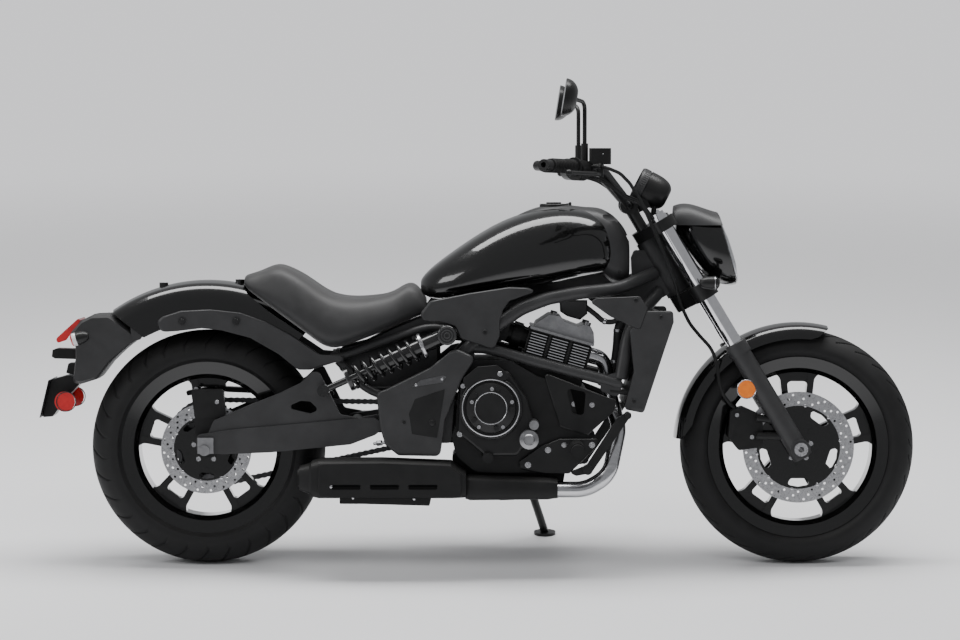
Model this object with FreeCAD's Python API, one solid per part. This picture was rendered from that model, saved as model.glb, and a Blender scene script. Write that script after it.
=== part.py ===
import FreeCAD, Part
import math
import os

# A cruiser motorcycle that leans on its side stand, in millimetres.
# Each piece is drawn on the upright machine: x runs forward from the rear axle, y to the left and
# z up from the ground. stand() then leans the whole machine over and centres it on the floor.

# Stance and steering
wheelbase = 1575.0
lean_deg = 8.0
rake_deg = 31.0
trail = 120.0
steer_limit_deg = 35.0

# Fits and gaps
run_gap = 0.05
seat_gap = 0.3
part_gap = 1.0
wheel_gap = 5.0
overrun = 5.0
skin = 3.0

# Front tyre, rim and disc
front_tyre_radius = 312.5
front_tyre_width = 120.0
front_crown_radius = 63.0
front_bead_radius = 229.0
front_rim_radius = 241.0
front_rim_width = 102.0
front_rim_inner = 199.0
front_disc_radius = 148.0
front_disc_inner = 111.0
front_disc_y = 58.0
front_hub_radius = 40.0
front_hub_half = 58.0
front_axle_radius = 12.0
front_axle_bore = 7.5

# Rear tyre, rim and disc
rear_tyre_radius = 312.0
rear_tyre_width = 160.0
rear_crown_radius = 86.0
rear_bead_radius = 216.0
rear_rim_radius = 228.5
rear_rim_width = 128.0
rear_rim_inner = 184.0
rear_disc_radius = 120.0
rear_disc_inner = 86.0
rear_disc_y = 92.0
rear_hub_radius = 44.0
rear_hub_half = 82.0
rear_axle_radius = 10.0

# What both wheels share
tyre_wall = 9.0
rim_lip = 6.0
rim_well = 9.0
disc_thick = 5.0
carrier_thick = 6.0
spoke_count = 5
spoke_half_depth = 19.0
web_half_depth = 8.0
spoke_rib = 17.0
arm_half_at_rim = 47.0
arm_half_at_hub = 33.0
window_corner = 24.0
slot_corner = 9.0
web_height = 26.0
disc_hole_radius = 3.2
disc_hole_count = 20
disc_bolt_radius = 6.0
disc_bolt_head = 5.0
bearing_ring_radius = 28.0

# Fork, clamps and steering stem
fork_half_spacing = 102.0
axle_lead = 5.0
fork_tube_radius = 20.5
fork_lower_radius = 27.0
fork_collar_radius = 30.0
fork_collar_height = 34.0
fork_lower_top = 330.0
fork_lower_bottom = 24.0
fork_tube_dip = 60.0
fork_tube_top = 722.0
axle_lug_radius = 26.0
axle_lug_half = 28.0
lower_clamp_at = 492.0
lower_clamp_thick = 44.0
upper_clamp_at = 696.0
upper_clamp_thick = 30.0
clamp_wall = 13.0
stem_radius = 14.0
stem_boss_radius = 30.0
fork_cap_radius = 17.0
fork_cap_height = 9.0

# Handlebar and what it carries
bar_radius = 12.7
bar_bend = 60.0
riser_radius = 14.5
riser_half_spacing = 48.0
riser_cap_radius = 24.0
riser_cap_half = 17.0
bar_clamp_at = 785.0
bar_clamp_n = 2.0
bar_rise = 88.0
bar_pull = 72.0
bar_rise_half = 208.0
bar_bend_half = 268.0
bar_bend_pull = 123.0
bar_bend_rise = 101.0
bar_end_half = 428.0
bar_end_pull = 218.0
bar_end_rise = 106.0
grip_radius = 17.0
grip_length = 128.0
grip_flange_radius = 24.0
grip_flange = 6.0
bar_end_radius = 14.5
bar_end_length = 34.0
switch_radius = 27.0
switch_length = 42.0
switch_drop = 9.0
perch_length = 24.0
perch_radius = 17.0
reservoir_length = 56.0
reservoir_width = 46.0
reservoir_height = 42.0
reservoir_corner = 8.0
lever_reach = 52.0
lever_length = 158.0
lever_radius = 6.5
lever_ball = 9.5
lever_bend = 40.0

# Mirrors
mirror_stem_radius = 5.5
mirror_sleeve_radius = 9.0
mirror_sleeve_height = 46.0
mirror_stem_height = 152.0
mirror_out = 62.0
mirror_arm_rise = 7.0
mirror_arm_back = 22.0
mirror_half_width = 72.0
mirror_half_height = 49.0
mirror_depth = 34.0
mirror_tilt_deg = 9.0
mirror_face_margin = 6.0
mirror_glass_thick = 2.5

# Instrument and headlight
dial_radius = 46.0
dial_depth = 66.0
dial_rim = 5.0
dial_at = 803.0
dial_n = 66.0
dial_tilt_deg = 27.0
dial_ring_depth = 26.0
dial_stay_radius = 6.0
dial_stay_spacing = 18.0
steering_gap = 6.0
steering_turn_deg = 35.0
steering_steps = 8
headlight_length = 166.0
headlight_height = 200.0
headlight_half_width = 96.0
headlight_x = 1229.0
headlight_z = 744.0
headlight_wall = 3.0
lens_bulge = 22.0
lens_inset = 10.0
visor_thick = 3.0
visor_lift = 4.0
headlight_stay = 8.0

# Front mudguard, indicators, brake
front_guard_gap = 19.0
front_guard_thick = 3.0
front_guard_half = 71.0
front_guard_back_deg = 176.0
front_guard_front_deg = 76.0
front_guard_side_deg = 100.0
front_guard_skirt = 42.0
guard_stay_thick = 5.0
guard_stay_width = 34.0
indicator_radius = 17.0
indicator_length = 40.0
indicator_stalk_radius = 7.0
front_indicator_half = 172.0
indicator_lens = 15.0
front_reflector_radius = 26.0
reflector_thick = 7.0
front_reflector_t = 210.0
front_reflector_n = -36.0
caliper_half = 30.0
caliper_slot = 15.0
hose_radius = 4.5

# Frame tubes and steering head
head_radius = 34.0
head_length = 132.0
frame_tube_radius = 17.5
lower_tube_radius = 15.0
sub_tube_radius = 11.0
frame_half = 138.0
frame_head_half = 52.0
pivot_x = 600.0
pivot_z = 386.0
pivot_plate_half = 140.0
pivot_plate_thick = 16.0
pivot_boss_radius = 24.0
cross_tube_radius = 14.0
frame_bend = 150.0

# Swingarm
arm_y = 138.0
arm_thick = 26.0
arm_tail_height = 48.0
arm_front_height = 66.0
arm_brace_height = 36.0
arm_corner = 12.0
arm_pivot_radius = 24.0
axle_block = 42.0
axle_block_thick = 8.0
axle_nut_radius = 14.0
axle_nut_thick = 10.0

# Chain drive
chain_y = 98.0
chain_pitch = 15.875
rear_teeth = 46
front_teeth = 15
chain_plate_high = 7.4
chain_plate_waist = 5.6
chain_plate_thick = 1.8
chain_inner_width = 8.0
chain_roller = 5.0
tooth_gap = 1.2
tooth_depth = 6.0
sprocket_thick = 5.5
sprocket_ring = 26.0
front_sprocket_x = 690.0
front_sprocket_z = 382.0
chain_guard_thick = 3.0

# Engine
crank_x = 755.0
crank_z = 427.0
crankcase_length = 262.0
crankcase_height = 268.0
crankcase_half = 150.0
crankcase_corner = 46.0
clutch_ring_radius = 83.0
clutch_cover_radius = 67.0
clutch_face_radius = 40.0
clutch_out = 216.0
clutch_boss_out = 200.0
case_cover_out = 186.0
dynamo_radius = 74.0
dynamo_out = 192.0
sump_half = 82.0
sump_drop = 30.0
sump_length = 190.0
pump_radius = 25.0
pump_out = 228.0
filler_radius = 14.0
filler_height = 16.0
cylinder_tilt_deg = 16.0
cylinder_depth = 172.0
cylinder_half = 118.0
cylinder_base_z = 470.0
cylinder_base_x = 902.0
cylinder_height = 92.0
fin_height = 66.0
fin_count = 9
fin_thick = 3.0
fin_gap_depth = 11.0
head_height = 44.0
head_plate_thick = 7.0
side_plate_thick = 8.0
side_plate_y = 152.0

# Intake behind the cylinder head
intake_radius = 26.0
intake_half_spacing = 60.0
airbox_half = 92.0

# Radiator
radiator_top_x = 1198.0
radiator_top_z = 674.0
radiator_bottom_x = 1121.0
radiator_bottom_z = 424.0
radiator_half = 152.0
radiator_thick = 34.0
radiator_tank = 24.0
shroud_thick = 5.0
shroud_depth = 74.0
fan_radius = 92.0
fan_depth = 30.0

# Exhaust
header_radius = 19.0
header_half_spacing = 58.0
header_bend = 95.0
muffler_y = 186.0
muffler_half = 66.0
muffler_length = 410.0
muffler_height = 100.0
muffler_x = 284.0
muffler_z = 188.0
collector_length = 228.0
collector_height = 62.0
collector_half = 53.0
collector_y = 151.0
muffler_corner = 30.0
muffler_tip_length = 30.0
muffler_tip_radius = 24.0
muffler_tip_wall = 3.0
cover_thick = 3.0
slot_length = 76.0
slot_height = 9.0
slot_step = 100.5
slot_count = 3
heel_plate = 13.0

# Tank
tank_x = 566.0
tank_length = 542.0
tank_z = 706.0
tank_height = 248.0
tank_half = 148.0
trim_thick = 7.0
cap_radius = 38.0
cap_height = 13.0
key_boss_radius = 20.0

# Seat
seat_x = 98.0
seat_length = 490.0
seat_z = 579.0
seat_height = 221.0
seat_half = 148.0

# Rear mudguard, rails and tail
guard_x = -256.0
guard_length = 640.0
guard_z = 500.0
guard_height = 257.0
guard_half = 102.0
guard_thick = 3.0
rail_x = -128.0
rail_length = 500.0
rail_z = 522.0
rail_height = 160.0
rail_thick = 15.0
rail_edge = 5.0
rail_corner = 14.0
rail_bolt_radius = 7.0
rail_bolt_head = 3.0
boss_radius = 12.0
boss_height = 9.0
boss_bore = 3.4
boss_depth = 14.0
boss_x = (-120.0, 84.0)
tail_x = -366.0
tail_length = 214.0
tail_z = 481.0
tail_height = 189.0
tail_half = 96.0
tail_tip_half = 62.0
tail_wall = 4.0
tail_lamp_half = 62.0
tail_lamp_thick = 9.0
rear_indicator_half = 170.0
plate_width = 178.0
plate_height = 102.0
plate_thick = 2.0
plate_top_x = -404.0
plate_top_z = 492.0
plate_tilt_deg = 13.5
plate_lamp_length = 48.0
plate_lamp_height = 26.0
plate_lamp_half = 24.0
rear_reflector_radius = 27.0
rear_reflector_half = 96.0

# Side covers
upper_cover_x = 556.0
upper_cover_length = 320.0
upper_cover_z = 577.0
upper_cover_height = 170.0
upper_cover_y = 156.0
upper_cover_thick = 12.0
lower_cover_x = 454.0
lower_cover_length = 264.0
lower_cover_z = 291.0
lower_cover_height = 289.0
lower_cover_y = 166.0
lower_cover_thick = 16.0
cover_corner = 16.0
cover_edge = 5.0
badge_thick = 2.0

# Rear shock absorber
shock_top_x = 640.0
shock_top_z = 617.0
shock_low_x = 314.0
shock_low_z = 470.0
shock_y = 158.0
shock_body_radius = 21.0
shock_rod_radius = 9.0
shock_cap_radius = 26.0
shock_cap_out = 192.0
shock_eye_half = 20.0
spring_radius = 29.0
spring_wire = 5.0
spring_pitch = 25.0
spring_length = 200.0
spring_start = 78.0
collar_thick = 8.0
collar_radius = 33.0

# Feet and hands of the rider
peg_x = 979.0
peg_z = 325.0
peg_radius = 17.0
peg_start = 182.0
peg_end = 352.0
bracket_x = 831.0
bracket_length = 212.0
bracket_z = 251.0
bracket_height = 94.0
bracket_y = 158.0
bracket_thick = 14.0
pedal_thick = 8.0
pedal_y = 186.0
pedal_pad_length = 62.0
pedal_pad_radius = 8.0

# Rear brake
rear_caliper_width = 84.0
rear_caliper_height = 82.0
rear_caliper_half = 24.0

# Side stand
stand_pivot_x = 905.0
stand_pivot_y = 118.0
stand_pivot_z = 226.0
stand_foot_x = 872.0
stand_foot_y = 292.0
stand_leg_radius = 11.0
stand_eye_radius = 17.0
stand_eye_thick = 24.0
stand_lug_thick = 7.0
stand_pin_radius = 6.0
stand_foot_radius = 30.0
stand_foot_thick = 8.0
stand_fold_deg = 92.0

# Unit values
whole_turn = 360.0
half_turn = 180.0
smallest_turn = 0.01
bend_share = 0.47
V = FreeCAD.Vector
left = V(0, 1, 0)
origin = V(0, 0, 0)

# Places worked out from the stance
lean = math.radians(lean_deg)
rake = math.radians(rake_deg)
rear_axle_z = rear_tyre_radius
crown_drop = rear_crown_radius * (1 - math.cos(lean))
front_axle_z = front_tyre_radius - front_crown_radius + (front_crown_radius - crown_drop) / math.cos(lean)
front_axle = V(wheelbase, 0, front_axle_z)
rear_axle = V(0, 0, rear_axle_z)
fork_offset = front_tyre_radius * math.sin(rake) - trail * math.cos(rake)
steer_up = V(-math.sin(rake), 0, math.cos(rake))
steer_out = V(math.cos(rake), 0, math.sin(rake))
steer_foot = front_axle - steer_out * fork_offset
leg_n = fork_offset - axle_lead
collisions_note = 0.0


def steer(t, n, y=0.0):
    """A point by its height t along the steering axis, its distance n ahead of it, and its y."""
    return steer_foot + steer_up * t + steer_out * n + V(0, y, 0)


def sized(shares, x, z, length, height, y=0.0):
    """The points of a side outline whose table holds shares of its length and height."""
    return [V(x + share_x * length, y, z + share_z * height) for share_x, share_z in shares]


def rounded_wire(points, radius, closed=True):
    """A wire along the points with an arc at each corner, as large as the radius and the runs allow."""
    count = len(points)
    corners = []
    for i, corner in enumerate(points):
        if not closed and i in (0, count - 1):
            corners.append((corner, None, corner))
            continue
        back = points[i - 1] - corner
        ahead = points[(i + 1) % count] - corner
        shorter = min(back.Length, ahead.Length)
        turn = math.pi - back.getAngle(ahead)
        if turn < smallest_turn:
            corners.append((corner, None, corner))
            continue
        reach = min(radius * math.tan(turn / 2), bend_share * shorter)
        back.normalize()
        ahead.normalize()
        inward = back + ahead
        inward.normalize()
        true_radius = reach / math.tan(turn / 2)
        middle = corner + inward * (true_radius / math.cos(turn / 2) - true_radius)
        corners.append((corner + back * reach, middle, corner + ahead * reach))
    edges = []
    for i, (start, middle, end) in enumerate(corners):
        if middle is not None:
            edges.append(Part.Arc(start, middle, end).toShape())
        if closed or i < count - 1:
            following = corners[(i + 1) % count][0]
            edges.append(Part.LineSegment(end, following).toShape())
    return Part.Wire(edges)


def smooth_wire(points):
    """A closed smooth curve through the points."""
    curve = Part.BSplineCurve()
    curve.interpolate(points, PeriodicFlag=True)
    return Part.Wire([curve.toShape()])


def plate(points, y_low, y_high, radius):
    """A flat plate with the side outline given by the points, from y_low to y_high."""
    flat = [V(p.x, y_low, p.z) for p in points]
    return Part.Face(rounded_wire(flat, radius)).extrude(V(0, y_high - y_low, 0))


def smooth_plate(points, y_low, y_high):
    """A plate whose side outline is one smooth curve through the points."""
    flat = [V(p.x, y_low, p.z) for p in points]
    return Part.Face(smooth_wire(flat)).extrude(V(0, y_high - y_low, 0))


def soft_plate(points, y_inner, y_outer, radius, edge):
    """A moulded plate whose outer face has rounded edges."""
    shape = plate(points, y_inner, y_outer, radius)
    outer = [e for e in shape.Edges if all(abs(v.Y - y_outer) < edge / 2 for v in e.Vertexes)]
    return shape.makeFillet(edge, outer)


def rod(start, end, radius):
    """A round bar from start to end."""
    return Part.makeCylinder(radius, (end - start).Length, start, end - start)


def pipe(points, radius, bend):
    """A round bar along straight runs joined by tangent arcs."""
    path = rounded_wire(points, bend, closed=False)
    ring = Part.Wire([Part.makeCircle(radius, points[0], points[1] - points[0])])
    return path.makePipeShell([ring], True, False)


def turned(profile, centre, direction=left):
    """A solid turned about an axle along y from pairs of a radius and a y."""
    points = [V(centre.x, centre.y + y, centre.z + radius) for radius, y in profile]
    wire = Part.makePolygon(points + [points[0]])
    return Part.Face(wire).revolve(centre, direction, whole_turn)


def disc(centre, radius, y_low, y_high):
    """A round plate about a line along y through the centre."""
    return Part.makeCylinder(radius, y_high - y_low, V(centre.x, y_low, centre.z), left)


def fused(shapes):
    """The shapes as one solid."""
    return shapes[0].multiFuse(shapes[1:]).removeSplitter()


def cut(shape, tools):
    """The shape less the tools."""
    return shape.cut(Part.makeCompound(tools))


def mirrored(shape):
    """The shape on the machine's other side."""
    return shape.mirror(origin, left)


def both(shape):
    """The shape and its mirror image."""
    return [shape, mirrored(shape)]


def turned_copy(shape, centre, degrees):
    """A copy turned about a line along y through the centre."""
    copy = shape.copy()
    copy.rotate(centre, left, degrees)
    return copy


def around(shape, centre, count, start=0.0):
    """Copies of the shape spaced evenly about a line along y through the centre."""
    return [turned_copy(shape, centre, start + whole_turn * i / count) for i in range(count)]


def polar(centre, radius, degrees, y=0.0):
    """A point at a radius and an angle from straight up, in the plane of a wheel."""
    angle = math.radians(degrees)
    return V(centre.x + radius * math.sin(angle), y, centre.z + radius * math.cos(angle))


def turned_about(shape, point, axis, angle):
    turned = shape.copy()
    turned.rotate(point, axis, angle)
    return turned


def cleared(shape, rooms):
    """The shape without the rooms that reach into it, and without any crumbs that they leave."""
    for room in rooms:
        if room.BoundBox.intersect(shape.BoundBox):
            shape = shape.cut(room)
    return max(shape.Solids, key=lambda solid: solid.Volume)


def loft(wires):
    """A smooth solid through the wires."""
    return Part.makeLoft(wires, True, False)


def banded(wires):
    """A solid through the wires with an edge at each."""
    return Part.makeLoft(wires, True, True)


# Wheels


def tyre(centre, outer, width, crown, bead, rim_radius, rim_width):
    """A tubeless tyre: round crown, bulging walls and two beads, hollow inside."""
    half = width / 2
    shoulder_y = half * 0.96
    shoulder_r = outer - crown + math.sqrt(crown ** 2 - shoulder_y ** 2)
    bead_y = rim_width / 2 - rim_lip
    belly_r = (shoulder_r + bead) / 2

    def half_ring(inset):
        top = V(centre.x, 0, centre.z + outer - inset)
        corner = V(centre.x, shoulder_y - inset, centre.z + shoulder_r)
        belly = V(centre.x, half - inset, centre.z + belly_r)
        heel = V(centre.x, bead_y - inset, centre.z + rim_radius + part_gap)
        foot = V(centre.x, bead_y - inset, centre.z + bead)
        other = [V(p.x, -p.y, p.z) for p in (corner, belly, heel, foot)]
        return [foot, heel, belly, corner, top] + other

    a = half_ring(0.0)
    b = half_ring(tyre_wall)
    edges = [Part.LineSegment(a[8], b[8]).toShape(), Part.LineSegment(b[0], a[0]).toShape()]
    for ring_points in (a, b):
        edges.append(Part.LineSegment(ring_points[0], ring_points[1]).toShape())
        edges.append(Part.LineSegment(ring_points[7], ring_points[8]).toShape())
        for i in (1, 3, 5):
            edges.append(Part.Arc(*ring_points[i:i + 3]).toShape())
    edges = Part.sortEdges(edges)[0]
    return Part.Face(Part.Wire(edges)).revolve(centre, left, whole_turn)


def rim_barrel(centre, rim_radius, bead, inner, width):
    """The rim's barrel with its two lips and the well between them."""
    half = width / 2
    seat_y = half - rim_lip
    well_y = seat_y * 0.55
    profile = [
        (rim_radius, half),
        (inner + rim_lip * 2, half - rim_lip),
        (inner, half * 0.62),
        (inner, -half * 0.62),
        (inner + rim_lip * 2, rim_lip - half),
        (rim_radius, -half),
        (rim_radius, -seat_y),
        (bead, -seat_y),
        (bead, -seat_y * 0.7),
        (bead - rim_well, -well_y),
        (bead - rim_well, well_y),
        (bead, seat_y * 0.7),
        (bead, seat_y),
        (rim_radius, seat_y),
    ]
    return turned(profile, centre)


def spoke_windows(centre, inner, hub_radius):
    """The openings between the arms, the slot in each arm and the hollows in its web."""
    half_pitch = half_turn / spoke_count
    hub_reach = hub_radius * 1.75
    rim_angle = half_pitch - math.degrees(math.asin(arm_half_at_rim / inner))
    hub_angle = half_pitch - math.degrees(math.asin(min(arm_half_at_hub / hub_reach, 0.55)))
    depth = spoke_half_depth + overrun
    wide = [
        polar(centre, inner, rim_angle),
        polar(centre, inner * 1.07, rim_angle * 0.5),
        polar(centre, inner * 1.07, -rim_angle * 0.5),
        polar(centre, inner, -rim_angle),
        polar(centre, hub_reach, -max(hub_angle, 1.0)),
        polar(centre, hub_reach, max(hub_angle, 1.0)),
    ]
    tools = around(plate(wide, -depth, depth, window_corner), centre, spoke_count, half_pitch)
    slot_top = inner - web_height
    slot_low = hub_radius * 1.9
    rise = (arm_half_at_rim - arm_half_at_hub) / (inner - hub_reach)
    top_half = arm_half_at_rim - rise * (inner - slot_top) - spoke_rib
    low_half = arm_half_at_rim - rise * (inner - slot_low) - spoke_rib
    slot = [
        V(centre.x - top_half, 0, centre.z + slot_top),
        V(centre.x + top_half, 0, centre.z + slot_top),
        V(centre.x + low_half, 0, centre.z + slot_low),
        V(centre.x - low_half, 0, centre.z + slot_low),
    ]
    tools += around(plate(slot, -depth, depth, slot_corner), centre, spoke_count)
    web_half = arm_half_at_rim - spoke_rib
    web = [
        V(centre.x - web_half, 0, centre.z + inner),
        V(centre.x + web_half, 0, centre.z + inner),
        V(centre.x + top_half, 0, centre.z + slot_top),
        V(centre.x - top_half, 0, centre.z + slot_top),
    ]
    near = plate(web, -depth, -web_half_depth, rim_lip)
    far = plate(web, web_half_depth, depth, rim_lip)
    tools += around(near, centre, spoke_count)
    tools += around(far, centre, spoke_count)
    return tools


def disc_carrier(centre, outer, inner, y):
    """The black middle of a brake disc, with its windows and bolt heads."""
    half = carrier_thick / 2
    body = disc(centre, outer, -y - half, -y + half)
    window_low = outer * 0.77
    window_high = outer * 0.94
    window = [
        polar(centre, window_high, 17.0),
        polar(centre, window_high * 1.01, 0.0),
        polar(centre, window_high, -17.0),
        polar(centre, window_low, -14.0),
        polar(centre, window_low, 14.0),
    ]
    hole = plate(window, -y - half - overrun, -y + half + overrun, slot_corner)
    body = cut(body, around(hole, centre, spoke_count, half_turn))
    bolt_ring = inner + disc_bolt_radius * 2
    head = disc(polar(centre, bolt_ring, 0.0), disc_bolt_radius, -y - half - disc_bolt_head, -y)
    return [body] + around(head, centre, spoke_count, half_turn / spoke_count)


def cast_wheel(centre, rim_radius, bead, inner, width, hub_radius, hub_half, axle, carrier, tabs):
    """A cast wheel: barrel, five double arms, hub with its bore, and the disc's carrier."""
    barrel = rim_barrel(centre, rim_radius, bead, inner, width)
    web = disc(centre, inner + rim_lip, -spoke_half_depth, spoke_half_depth)
    hub = disc(centre, hub_radius, -hub_half, tabs)
    arms = cut(web, spoke_windows(centre, inner, hub_radius))
    wheel = fused([barrel, arms, hub] + carrier)
    return wheel.cut(disc(centre, axle + run_gap, -hub_half - overrun, tabs + overrun))


def brake_rotor(centre, outer, inner, y):
    """The steel ring that the pads grip, with its rows of holes."""
    half = disc_thick / 2
    ring = disc(centre, outer, -y - half, -y + half)
    ring = ring.cut(disc(centre, inner, -y - half - overrun, -y + half + overrun))
    holes = []
    for row, share in enumerate((0.22, 0.5, 0.78)):
        radius = inner + (outer - inner) * share
        start = whole_turn / disc_hole_count * row / 3
        hole = disc(polar(centre, radius, 0.0), disc_hole_radius, -y - half - overrun, -y + half + overrun)
        holes += around(hole, centre, disc_hole_count, start)
    return cut(ring, holes)


def front_wheel():
    carrier = disc_carrier(front_axle, front_disc_inner, front_hub_radius, front_disc_y)
    return cast_wheel(
        front_axle, front_rim_radius, front_bead_radius, front_rim_inner, front_rim_width,
        front_hub_radius, front_disc_y + carrier_thick, front_axle_radius, carrier, front_hub_half,
    )


def rear_wheel():
    carrier = disc_carrier(rear_axle, rear_disc_inner, rear_hub_radius, rear_disc_y)
    return cast_wheel(
        rear_axle, rear_rim_radius, rear_bead_radius, rear_rim_inner, rear_rim_width,
        rear_hub_radius, rear_disc_y + carrier_thick, rear_axle_radius, carrier, rear_hub_half,
    )


def front_tyre():
    return tyre(front_axle, front_tyre_radius, front_tyre_width, front_crown_radius,
                front_bead_radius, front_rim_radius, front_rim_width)


def rear_tyre():
    return tyre(rear_axle, rear_tyre_radius, rear_tyre_width, rear_crown_radius,
                rear_bead_radius, rear_rim_radius, rear_rim_width)


def front_disc():
    return brake_rotor(front_axle, front_disc_radius, front_disc_inner, front_disc_y)


def rear_disc():
    return brake_rotor(rear_axle, rear_disc_radius, rear_disc_inner, rear_disc_y)


def pitch_radius(teeth):
    return chain_pitch / 2 / math.sin(math.pi / teeth)


def rear_sprocket():
    """The toothed ring on the rear hub's left side, its tips just inside the chain's rollers."""
    tip = pitch_radius(rear_teeth) - chain_plate_high - tooth_gap
    root = tip - tooth_depth
    points = []
    for i in range(rear_teeth):
        for radius, share in ((root, 0.0), (root, 0.28), (tip, 0.52), (tip, 0.76)):
            points.append(polar(rear_axle, radius, whole_turn * (i + share) / rear_teeth))
    half = sprocket_thick / 2
    wire = Part.makePolygon([V(p.x, chain_y - half, p.z) for p in points + points[:1]])
    ring = Part.Face(wire).extrude(V(0, sprocket_thick, 0))
    window = [
        polar(rear_axle, root - sprocket_ring * 0.5, 24.0),
        polar(rear_axle, root - sprocket_ring * 0.5, -24.0),
        polar(rear_axle, rear_hub_radius * 1.3, -20.0),
        polar(rear_axle, rear_hub_radius * 1.3, 20.0),
    ]
    hole = plate(window, chain_y - half - overrun, chain_y + half + overrun, slot_corner)
    ring = cut(ring, around(hole, rear_axle, spoke_count))
    flange = disc(rear_axle, rear_hub_radius, rear_hub_half, chain_y + half)
    body = fused([ring, flange])
    return body.cut(disc(rear_axle, rear_axle_radius + run_gap, rear_hub_half - overrun, chain_y + half + overrun))


# Front end


def front_axle_shaft():
    reach = fork_half_spacing + axle_lug_half
    shaft = disc(front_axle, front_axle_radius, -reach, reach)
    head = disc(front_axle, front_axle_radius * 1.5, -reach - axle_nut_thick, -reach)
    nut = disc(front_axle, front_axle_radius * 1.5, reach, reach + axle_nut_thick)
    bore = disc(front_axle, front_axle_bore, -reach - axle_nut_thick - overrun, reach + axle_nut_thick + overrun)
    return [fused([shaft, head, nut]).cut(bore)] + wheel_spacers()


def wheel_spacers():
    """The sleeves between the fork's lugs and the hub, on the axle."""
    lug_face = fork_half_spacing - axle_lug_half
    hub_right = front_disc_y + carrier_thick + part_gap
    right = disc(front_axle, bearing_ring_radius * 0.7, -lug_face, -hub_right)
    left_one = disc(front_axle, bearing_ring_radius * 0.7, front_hub_half + part_gap, lug_face)
    shaft = disc(front_axle, front_axle_radius, -lug_face - overrun, lug_face + overrun)
    return [s.cut(shaft) for s in (right, left_one) if s.Volume > 0]


def fork_tubes():
    start = fork_lower_top - fork_tube_dip
    tube = rod(steer(start, leg_n, fork_half_spacing), steer(fork_tube_top, leg_n, fork_half_spacing), fork_tube_radius)
    cap = rod(steer(fork_tube_top, leg_n, fork_half_spacing),
              steer(fork_tube_top + fork_cap_height, leg_n, fork_half_spacing), fork_cap_radius)
    leg = fused([tube, cap])
    return both(leg)


def fork_lowers():
    y = fork_half_spacing
    leg = rod(steer(-fork_lower_bottom, leg_n, y), steer(fork_lower_top, leg_n, y), fork_lower_radius)
    collar = rod(steer(fork_lower_top - fork_collar_height, leg_n, y), steer(fork_lower_top, leg_n, y),
                 fork_collar_radius)
    collar = collar.makeFillet(part_gap * 3, collar.Edges[:1])
    lug = disc(front_axle, axle_lug_radius, y - axle_lug_half, y + axle_lug_half)
    stay_boss = rod(steer(fork_lower_top - fork_collar_height * 1.6, leg_n, y),
                    steer(fork_lower_top - fork_collar_height * 1.6, leg_n, front_guard_half),
                    fork_cap_radius)
    body = fused([leg, collar, lug, stay_boss])
    bore = rod(steer(fork_lower_top - fork_tube_dip - overrun, leg_n, y), steer(fork_lower_top + overrun, leg_n, y),
               fork_tube_radius)
    shaft = disc(front_axle, front_axle_radius, -wheelbase, wheelbase)
    return both(cut(body, [bore, shaft]))


def clamp_plate(t, thick, boss_n, room=0.0):
    """One of the two plates that hold the fork tubes to the steering stem, with room around it."""
    y = fork_half_spacing
    wide = fork_tube_radius + clamp_wall + room
    low, high = t - thick / 2 - room, t + thick / 2 + room
    boss_n = boss_n - room
    legs = [rod(steer(low, leg_n, s * y), steer(high, leg_n, s * y), wide) for s in (-1, 1)]
    stem = rod(steer(low, 0, 0), steer(high, 0, 0), stem_boss_radius + room)
    shape = [
        steer(low, leg_n + wide * 0.8, -y), steer(low, leg_n + wide * 0.8, y),
        steer(low, leg_n - wide * 0.8, y), steer(low, boss_n, stem_boss_radius),
        steer(low, boss_n, -stem_boss_radius), steer(low, leg_n - wide * 0.8, -y),
    ]
    web = Part.Face(rounded_wire(shape, slot_corner)).extrude(steer_up * (high - low))
    if room:
        return fused(legs + [stem, web])
    bores = [rod(steer(low - overrun, leg_n, s * y), steer(high + overrun, leg_n, s * y), fork_tube_radius)
             for s in (-1, 1)]
    return cut(fused(legs + [stem, web]), bores)


def triple_clamps():
    """Both clamp plates, the stem that joins them, and the handlebar's risers."""
    low = clamp_plate(lower_clamp_at, lower_clamp_thick, -stem_boss_radius)
    high = clamp_plate(upper_clamp_at, upper_clamp_thick, -stem_boss_radius)
    stem = rod(steer(lower_clamp_at, 0), steer(upper_clamp_at + upper_clamp_thick / 2 + fork_cap_height, 0), stem_radius)
    clamps = fused([low, high, stem])
    centre = steer(bar_clamp_at, bar_clamp_n)
    risers = []
    for side in (-1, 1):
        foot = steer(upper_clamp_at, bar_clamp_n, side * riser_half_spacing)
        riser = rod(foot, centre + V(0, side * riser_half_spacing, 0), riser_radius)
        cap = disc(centre, riser_cap_radius, side * riser_half_spacing - riser_cap_half,
                   side * riser_half_spacing + riser_cap_half)
        risers.append(cut(fused([riser, cap]), [handlebar(), clamps]))
    return [clamps] + risers


def bar_points(side):
    """The handlebar's line on one side, from its middle to its end."""
    centre = steer(bar_clamp_at, bar_clamp_n)
    return [
        centre,
        centre + V(0, side * (riser_half_spacing + riser_cap_half * 2), 0),
        centre + V(-bar_pull, side * bar_rise_half, bar_rise),
        centre + V(-bar_bend_pull, side * bar_bend_half, bar_bend_rise),
        centre + V(-bar_end_pull, side * bar_end_half, bar_end_rise),
    ]


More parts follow.
